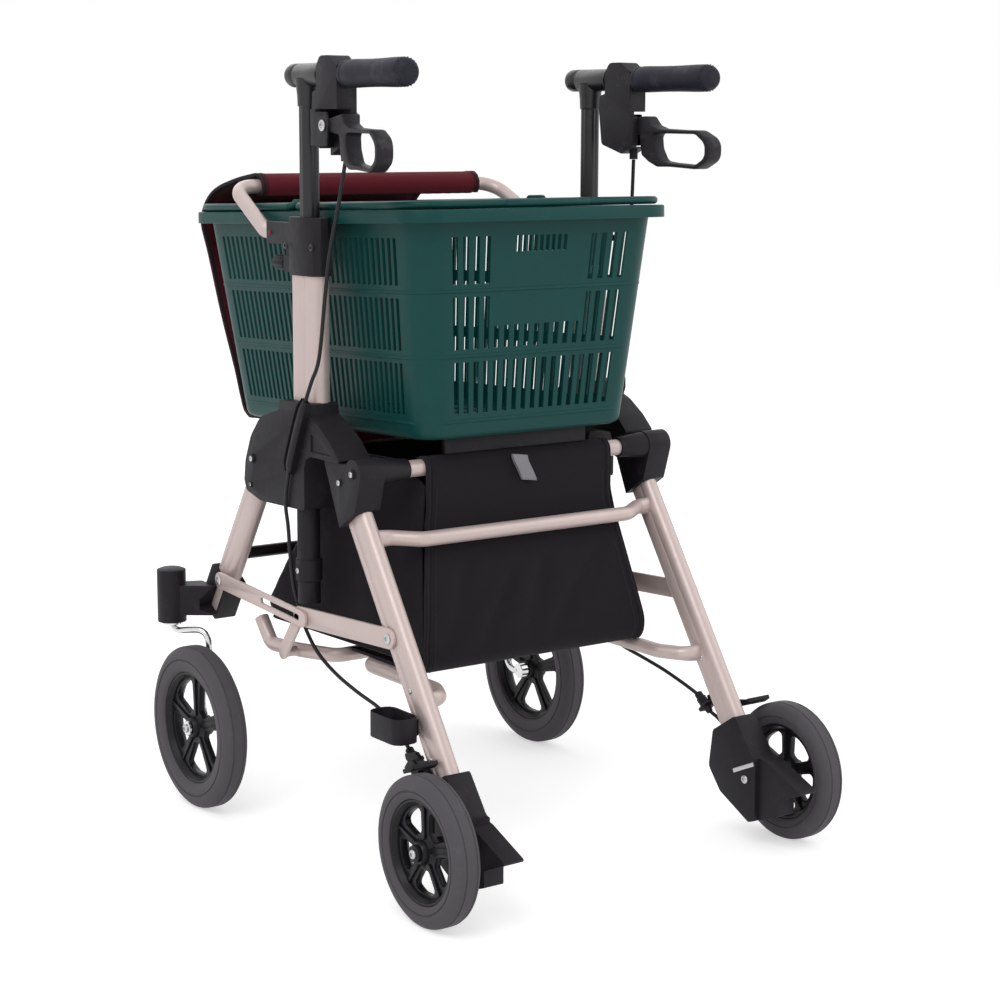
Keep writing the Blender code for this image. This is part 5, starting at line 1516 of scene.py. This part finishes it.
bag = {
    "wrap": 0.0115,
    "fall": ((-0.0648, 0.4200), (-0.0650, 0.3850), (-0.0694, 0.3725), (-0.0860, 0.3050), (-0.0985, 0.2520),
             (-0.0975, 0.2320), (-0.0900, 0.2228)),
    "floorEnd": 0.0540,
    "halfTop": 0.130,
    "halfSpread": 0.027,
    "spreadFrom": 0.400,
    "spreadOver": 0.150,
    "thickness": 0.0022,
    "panelRows": 84,
    "panelColumns": 57,
    "seamRows": 66,
    # height, y of the rear and of the front edge, half width at the rear and at the front
    "levels": ((0.2330, -0.0930, 0.2240, 0.1560, 0.1690), (0.2520, -0.0955, 0.2320, 0.1560, 0.1710),
               (0.3100, -0.0815, 0.1890, 0.1480, 0.1680), (0.3690, -0.0665, 0.1460, 0.1390, 0.1620),
               (0.4000, -0.0625, 0.1420, 0.1340, 0.1580), (0.4310, -0.0618, 0.1390, 0.1310, 0.1520),
               (0.4350, -0.0400, 0.1385, 0.1310, 0.1515), (0.4490, -0.0370, 0.1370, 0.1300, 0.1500)),
    "skirtRows": 41,
    "skirtColumns": 131,
    "skirtWave": 0.0022,
    "floor": (0.158, 0.0565, 0.2200, 0.2323),      # half width, y of both ends, height
    "anchor": (0, 0, 0.4366),
    "keep": 0.4,
}
# x and z of the middle of each fold, its lean in degrees, its width and its depth
folds = ((-0.085, 0.335, 62, 0.011, 0.0030), (-0.045, 0.290, 55, 0.010, 0.0040),
         (0.010, 0.300, 66, 0.012, 0.0034), (0.055, 0.285, 50, 0.010, 0.0038),
         (0.100, 0.330, 58, 0.011, 0.0026), (-0.110, 0.270, 40, 0.012, 0.0028))


def panelPush(x, z):    # soft diagonal folds, none near the cross tube or the bars
    push = 0.0
    for foldX, foldZ, slant, width, depth in folds:
        turn = math.radians(slant)
        off = (x - foldX) * math.sin(turn) - (z - foldZ) * math.cos(turn)
        along = (x - foldX) * math.cos(turn) + (z - foldZ) * math.sin(turn)
        push += depth * math.exp(-(off / width) ** 2) * math.exp(-(along / 0.050) ** 2)
    return push * ramp((0.352 - z) / 0.03) * ramp((z - 0.232) / 0.02)


def panelRow(spot):
    half = bag["halfTop"] + bag["halfSpread"] * ramp((bag["spreadFrom"] - spot.z) / bag["spreadOver"])
    row = []
    for j in range(bag["panelColumns"]):
        x = half * (2 * j / (bag["panelColumns"] - 1) - 1)
        row.append(spot + Vector((x, panelPush(x, spot.z) if spot.y < -0.0640 else 0.0, 0)))
    return row


fallY, floorZ = bag["fall"][-1]
path = inPlane(arcOf(tubes["rearBar"], bag["wrap"], -50, 180, 12))
path += flowPath([path[-1], *inPlane(bag["fall"])], 0.006)[1:]
path += inPlane([(fallY + (bag["floorEnd"] - fallY) * i / 12, floorZ) for i in range(1, 13)])
path = evenly(path, bag["panelRows"])
split = next(i for i, spot in enumerate(path) if i > 12 and spot.z < bag["anchor"][2])
rows = [panelRow(spot) for spot in path]
wrap, _, wrapArea = clothSheet(rows[:split + 1], bag["thickness"])
mesh, flat, area = clothSheet(rows[split:], bag["thickness"])
panel = addPiece("bagPanel", mesh, "nylon", "main", ["bag_base"])
loop = addPiece("bagLoop", wrap, "nylon", "main")
hems = [addPiece(name, edgeBindings(part, 0.0032, 0.0066, 0.0030), "binding", "main")
        for name, part in (("bagLoopHem", rows[:split + 1]), ("bagPanelHem", rows[split:]))]
middle = bag["panelColumns"] // 2
seams = []
for way, column in ((-1, 2), (1, -3)):
    seam = []
    for row, below in zip(rows[split + 1:bag["seamRows"]], rows[split + 2:]):
        outward = (row[middle] - row[middle - 1]).cross(below[middle] - row[middle]).normalized()
        seam.append(row[column] - outward * 0.0013 - Vector((way * 0.0030, 0, 0)))
    seams.append(seam)
thread = addPiece("bagPanelStitches", stitched(seams), "thread", "main")
for piece in (panel, hems[1], thread):
    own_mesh(piece)
print("bag panel", round(flat[0], 3), round(flat[1], 3), round(area, 4), round(wrapArea, 4))


def skirtRow(z):
    levels = bag["levels"]
    at = next((i for i in range(len(levels) - 1) if z <= levels[i + 1][0]), len(levels) - 2)
    share = (z - levels[at][0]) / (levels[at + 1][0] - levels[at][0])
    rear, front, halfRear, halfFront = (a + (b - a) * share for a, b in zip(levels[at][1:], levels[at + 1][1:]))
    inset, last = bag["thickness"] / 2, bag["skirtColumns"] - 1
    half = [(halfRear - inset, rear, z), (halfFront - inset, front - 0.010, z),
            (halfFront - 0.010, front - inset, z)]
    whole = half + [(-x, y, z) for x, y, z in reversed(half)]
    spots = evenly(bentPath(whole, 0.009, 6), last + 1)
    row = []
    for i, spot in enumerate(spots):
        out = Vector((0, 0, 1)).cross(spots[min(i + 1, last)] - spots[max(i - 1, 0)]).normalized()
        run = i / last
        wave = math.sin(run * 61 + z * 22) * 0.5 + math.sin(run * 37 - z * 41 + 1.3) * 0.5
        free = ramp((0.400 - z) / 0.05) * ramp((z - 0.236) / 0.03) * min(1.0, run * 18, (1 - run) * 18)
        row.append(spot + out * bag["skirtWave"] * free * (wave - 0.35))
    return row


low, high = bag["levels"][0][0], bag["levels"][-1][0]
last = bag["skirtRows"] - 1
rows = [skirtRow(low + (high - low) * i / last) for i in range(last + 1)]
mesh, flat, area = clothSheet(rows, bag["thickness"])
x, rear, front, z = bag["floor"]
floorRows = [[Vector((x * (j / 12 - 1), rear + (front - rear) * i / 8, z)) for j in range(25)]
             for i in range(9)]
base, _, baseArea = clothSheet(floorRows, bag["thickness"])
skirt = addPiece("bagSkirt", joinMeshes([mesh, base]), "nylon", "main", ["bag_skirt"])
rims = [sweep(rows[0], ovalOf(0.0030, 0.0058, 6), (0, 0, 1)),
        sweep(rows[-1], ovalOf(0.0066, 0.0030, 6), (0, 0, 1))]
piping = addPiece("bagSkirtHem", joinMeshes(rims), "binding", "main")
for piece in (skirt, piping):
    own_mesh(piece)
print("bag skirt", round(flat[0], 3), round(flat[1], 3), round(area + baseArea, 4))

pull = {
    "route": ((-0.0055, -0.0676, 0.4545), (-0.0040, -0.0674, 0.4480), (0.0025, -0.0675, 0.4360),
              (0.0080, -0.0678, 0.4256), (0.0086, -0.0690, 0.4244), (0.0080, -0.0702, 0.4256),
              (0.0025, -0.0707, 0.4360), (-0.0040, -0.0706, 0.4480), (-0.0055, -0.0702, 0.4545)),
    "half": (0.0102, 0, -0.0014),
    "thickness": 0.0013,
}
half = Vector(pull["half"])
rows = [[spot + half * (j / 5 - 1) for j in range(11)] for spot in flowPath(pull["route"], 0.0011)]
mesh, flat, area = clothSheet(rows, pull["thickness"])
tab = addPiece("pullTab", mesh, "webbing", "main", ["pull_tab"])
print("bag ready")


# Brake cables from the housings down the posts to the stops on the wheel feet

cable = {
    "radius": 0.0022,
    "route": ((0.2060, -0.0060, 0.740), (0.2110, 0.0040, 0.690), (0.2140, 0.0110, 0.640),
              (0.2165, 0.0210, 0.570), (0.2225, 0.0285, 0.542), (0.2266, 0.0360, 0.518),
              (0.2272, 0.0500, 0.488), (0.2272, 0.0660, 0.452), (0.2270, 0.0780, 0.418),
              (0.2262, 0.0825, 0.394), (0.2225, 0.0840, 0.370), (0.2195, 0.0845, 0.330),
              (0.2150, 0.0860, 0.300), (0.2085, 0.0880, 0.278), (0.2020, 0.0840, 0.250),
              (0.1960, 0.0660, 0.222), (0.1940, 0.0300, 0.204), (0.1935, -0.0150, 0.192),
              (0.1940, -0.0600, 0.184), (0.1975, -0.1000, 0.174)),
    "exit": (0.1985, -0.0135, 0.7855),
    "tab": (0.2065, -0.158, 0.1455),
    "tabWay": (0, -0.7844, -0.6203),
    "ends": ((0.2115, -0.1720, 0.1340), (0.2160, -0.1830, 0.1240)),
    "bend": (0.770, 0.600),      # top and bottom of the stretch of cable beside the handle
}
tabSpot, tabWay = Vector(cable["tab"]), Vector(cable["tabWay"])


def adjusterShape():
    barrel = [(0.0024, -0.0190), (0.0040, -0.0190), (0.0048, -0.0182), (0.0048, -0.0120), (0.0062, -0.0112)]
    barrel += [(0.0062 - 0.0006 * (i % 2), -0.0106 + i * 0.0013) for i in range(11)]
    barrel += [(0.0062, 0.0030), (0.0048, 0.0038), (0.0038, 0.0095), (0.0024, 0.0100)]
    mesh = lathe(barrel, "z", (0, 0, 0), 24, ring=True)
    turn = Vector((0, 0, 1)).rotation_difference(tabWay).to_matrix().to_4x4()
    mesh.transform(Matrix.Translation(tabSpot) @ turn)
    return mesh


def coverShape():
    ridge = flowPath([(0.2262, 0.0350, 0.5210), *cable["route"][6:8], (0.2272, 0.0720, 0.4350)], 0.004)
    ends = [min(1.0, 0.62 + 0.12 * min(i, len(ridge) - 1 - i)) for i in range(len(ridge))]
    return sweep(ridge, ovalOf(0.0180, 0.0096, 10), (0, 1, 0.5), scales=[(end, end) for end in ends])


for side in sides:
    route = [toe @ Vector(cable["exit"]), *cable["route"], tabSpot - tabWay * 0.014, tabSpot + tabWay * 0.007]
    path = flowPath(route + list(cable["ends"]), 0.006)
    tube = sweep(path, circleOf(cable["radius"], 14), (1, 0, 0))
    sheath = addPiece("brakeCable", tube, "cable", None, ["brake_cable"], side)
    world = [toPart @ Vector((spot.x * side, spot.y, spot.z)) for spot in path]
    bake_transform(sheath)
    addPiece("cableAdjuster", adjusterShape(), "moulded", "main", (), side)
    addPiece("cableCover", coverShape(), "moulded", "main", (), side)
    [tuple(spot) for spot in evenly(world, 40)]


# Screws, bolts and rivets

heads = {    # radius, height, corners, finish, slot
    "small": (0.0033, 0.0016, 18, "bolt", "chrome"),
    "dark": (0.0040, 0.0016, 12, "post", "black"),
    "rivet": (0.0062, 0.0022, 18, "bolt", "chrome"),
    "hex": (0.0052, 0.0030, 12, "bolt", "chrome"),
}
frontAxle, rearAxle = wheels["front"]["axle"], wheels["rear"]["axle"]
screws = (    # body, kind, place on the right, outward or inward
    ("main", "small", (0.2187, 0.070, 0.320), 1),
    ("main", "small", (0.2125, *rearSpot(0.205)), 1),
    ("main", "small", (0.2125, *rearSpot(0.283, 0.004)), 1),
    ("main", "small", (0.1925, *rearSpot(0.225, 0.003)), -1),
    ("main", "small", (0.2262, *tubes["frontPivot"]), 1),
    ("main", "small", (0.2236, 0.1680, 0.4080), 1),
    ("main", "small", (0.2216, -0.0260, 0.4354), 1),
    ("main", "small", (0.2220, *tubes["rearBar"]), 1),
    ("main", "dark", (0.2138, 0.0960, 0.6905), 1),
    ("main", "dark", (0.2138, 0.0400, 0.6905), 1),
    ("main", "hex", (0.2724, *rearAxle), 1),
    ("main", "hex", (0.1868, *rearAxle), -1),
    ("caster", "hex", (0.2724, *frontAxle), 1),
    ("front_frame", "rivet", (brace["layers"][3] + 0.0003, *brace["front"]), 1),
    ("main", "rivet", (brace["layers"][1] + 0.0002, *brace["rear"]), 1),
    ("handle", "rivet", tuple(toe @ Vector((0.2187, 0.0010, 0.8245))), 1),
)
spots = {}
for body, kind, (x, y, z), way in screws:
    for side in sides:
        spots.setdefault((bodyOf(body, side), kind), []).append(((x * side, y, z), (way * side, 0, 0)))
for (body, kind), found in spots.items():
    *size, look, slot = heads[kind]
    addPiece(body + kind.capitalize() + "Heads", copiesOf(screwHead(*size), found, look), look, body)
print("screws ready")
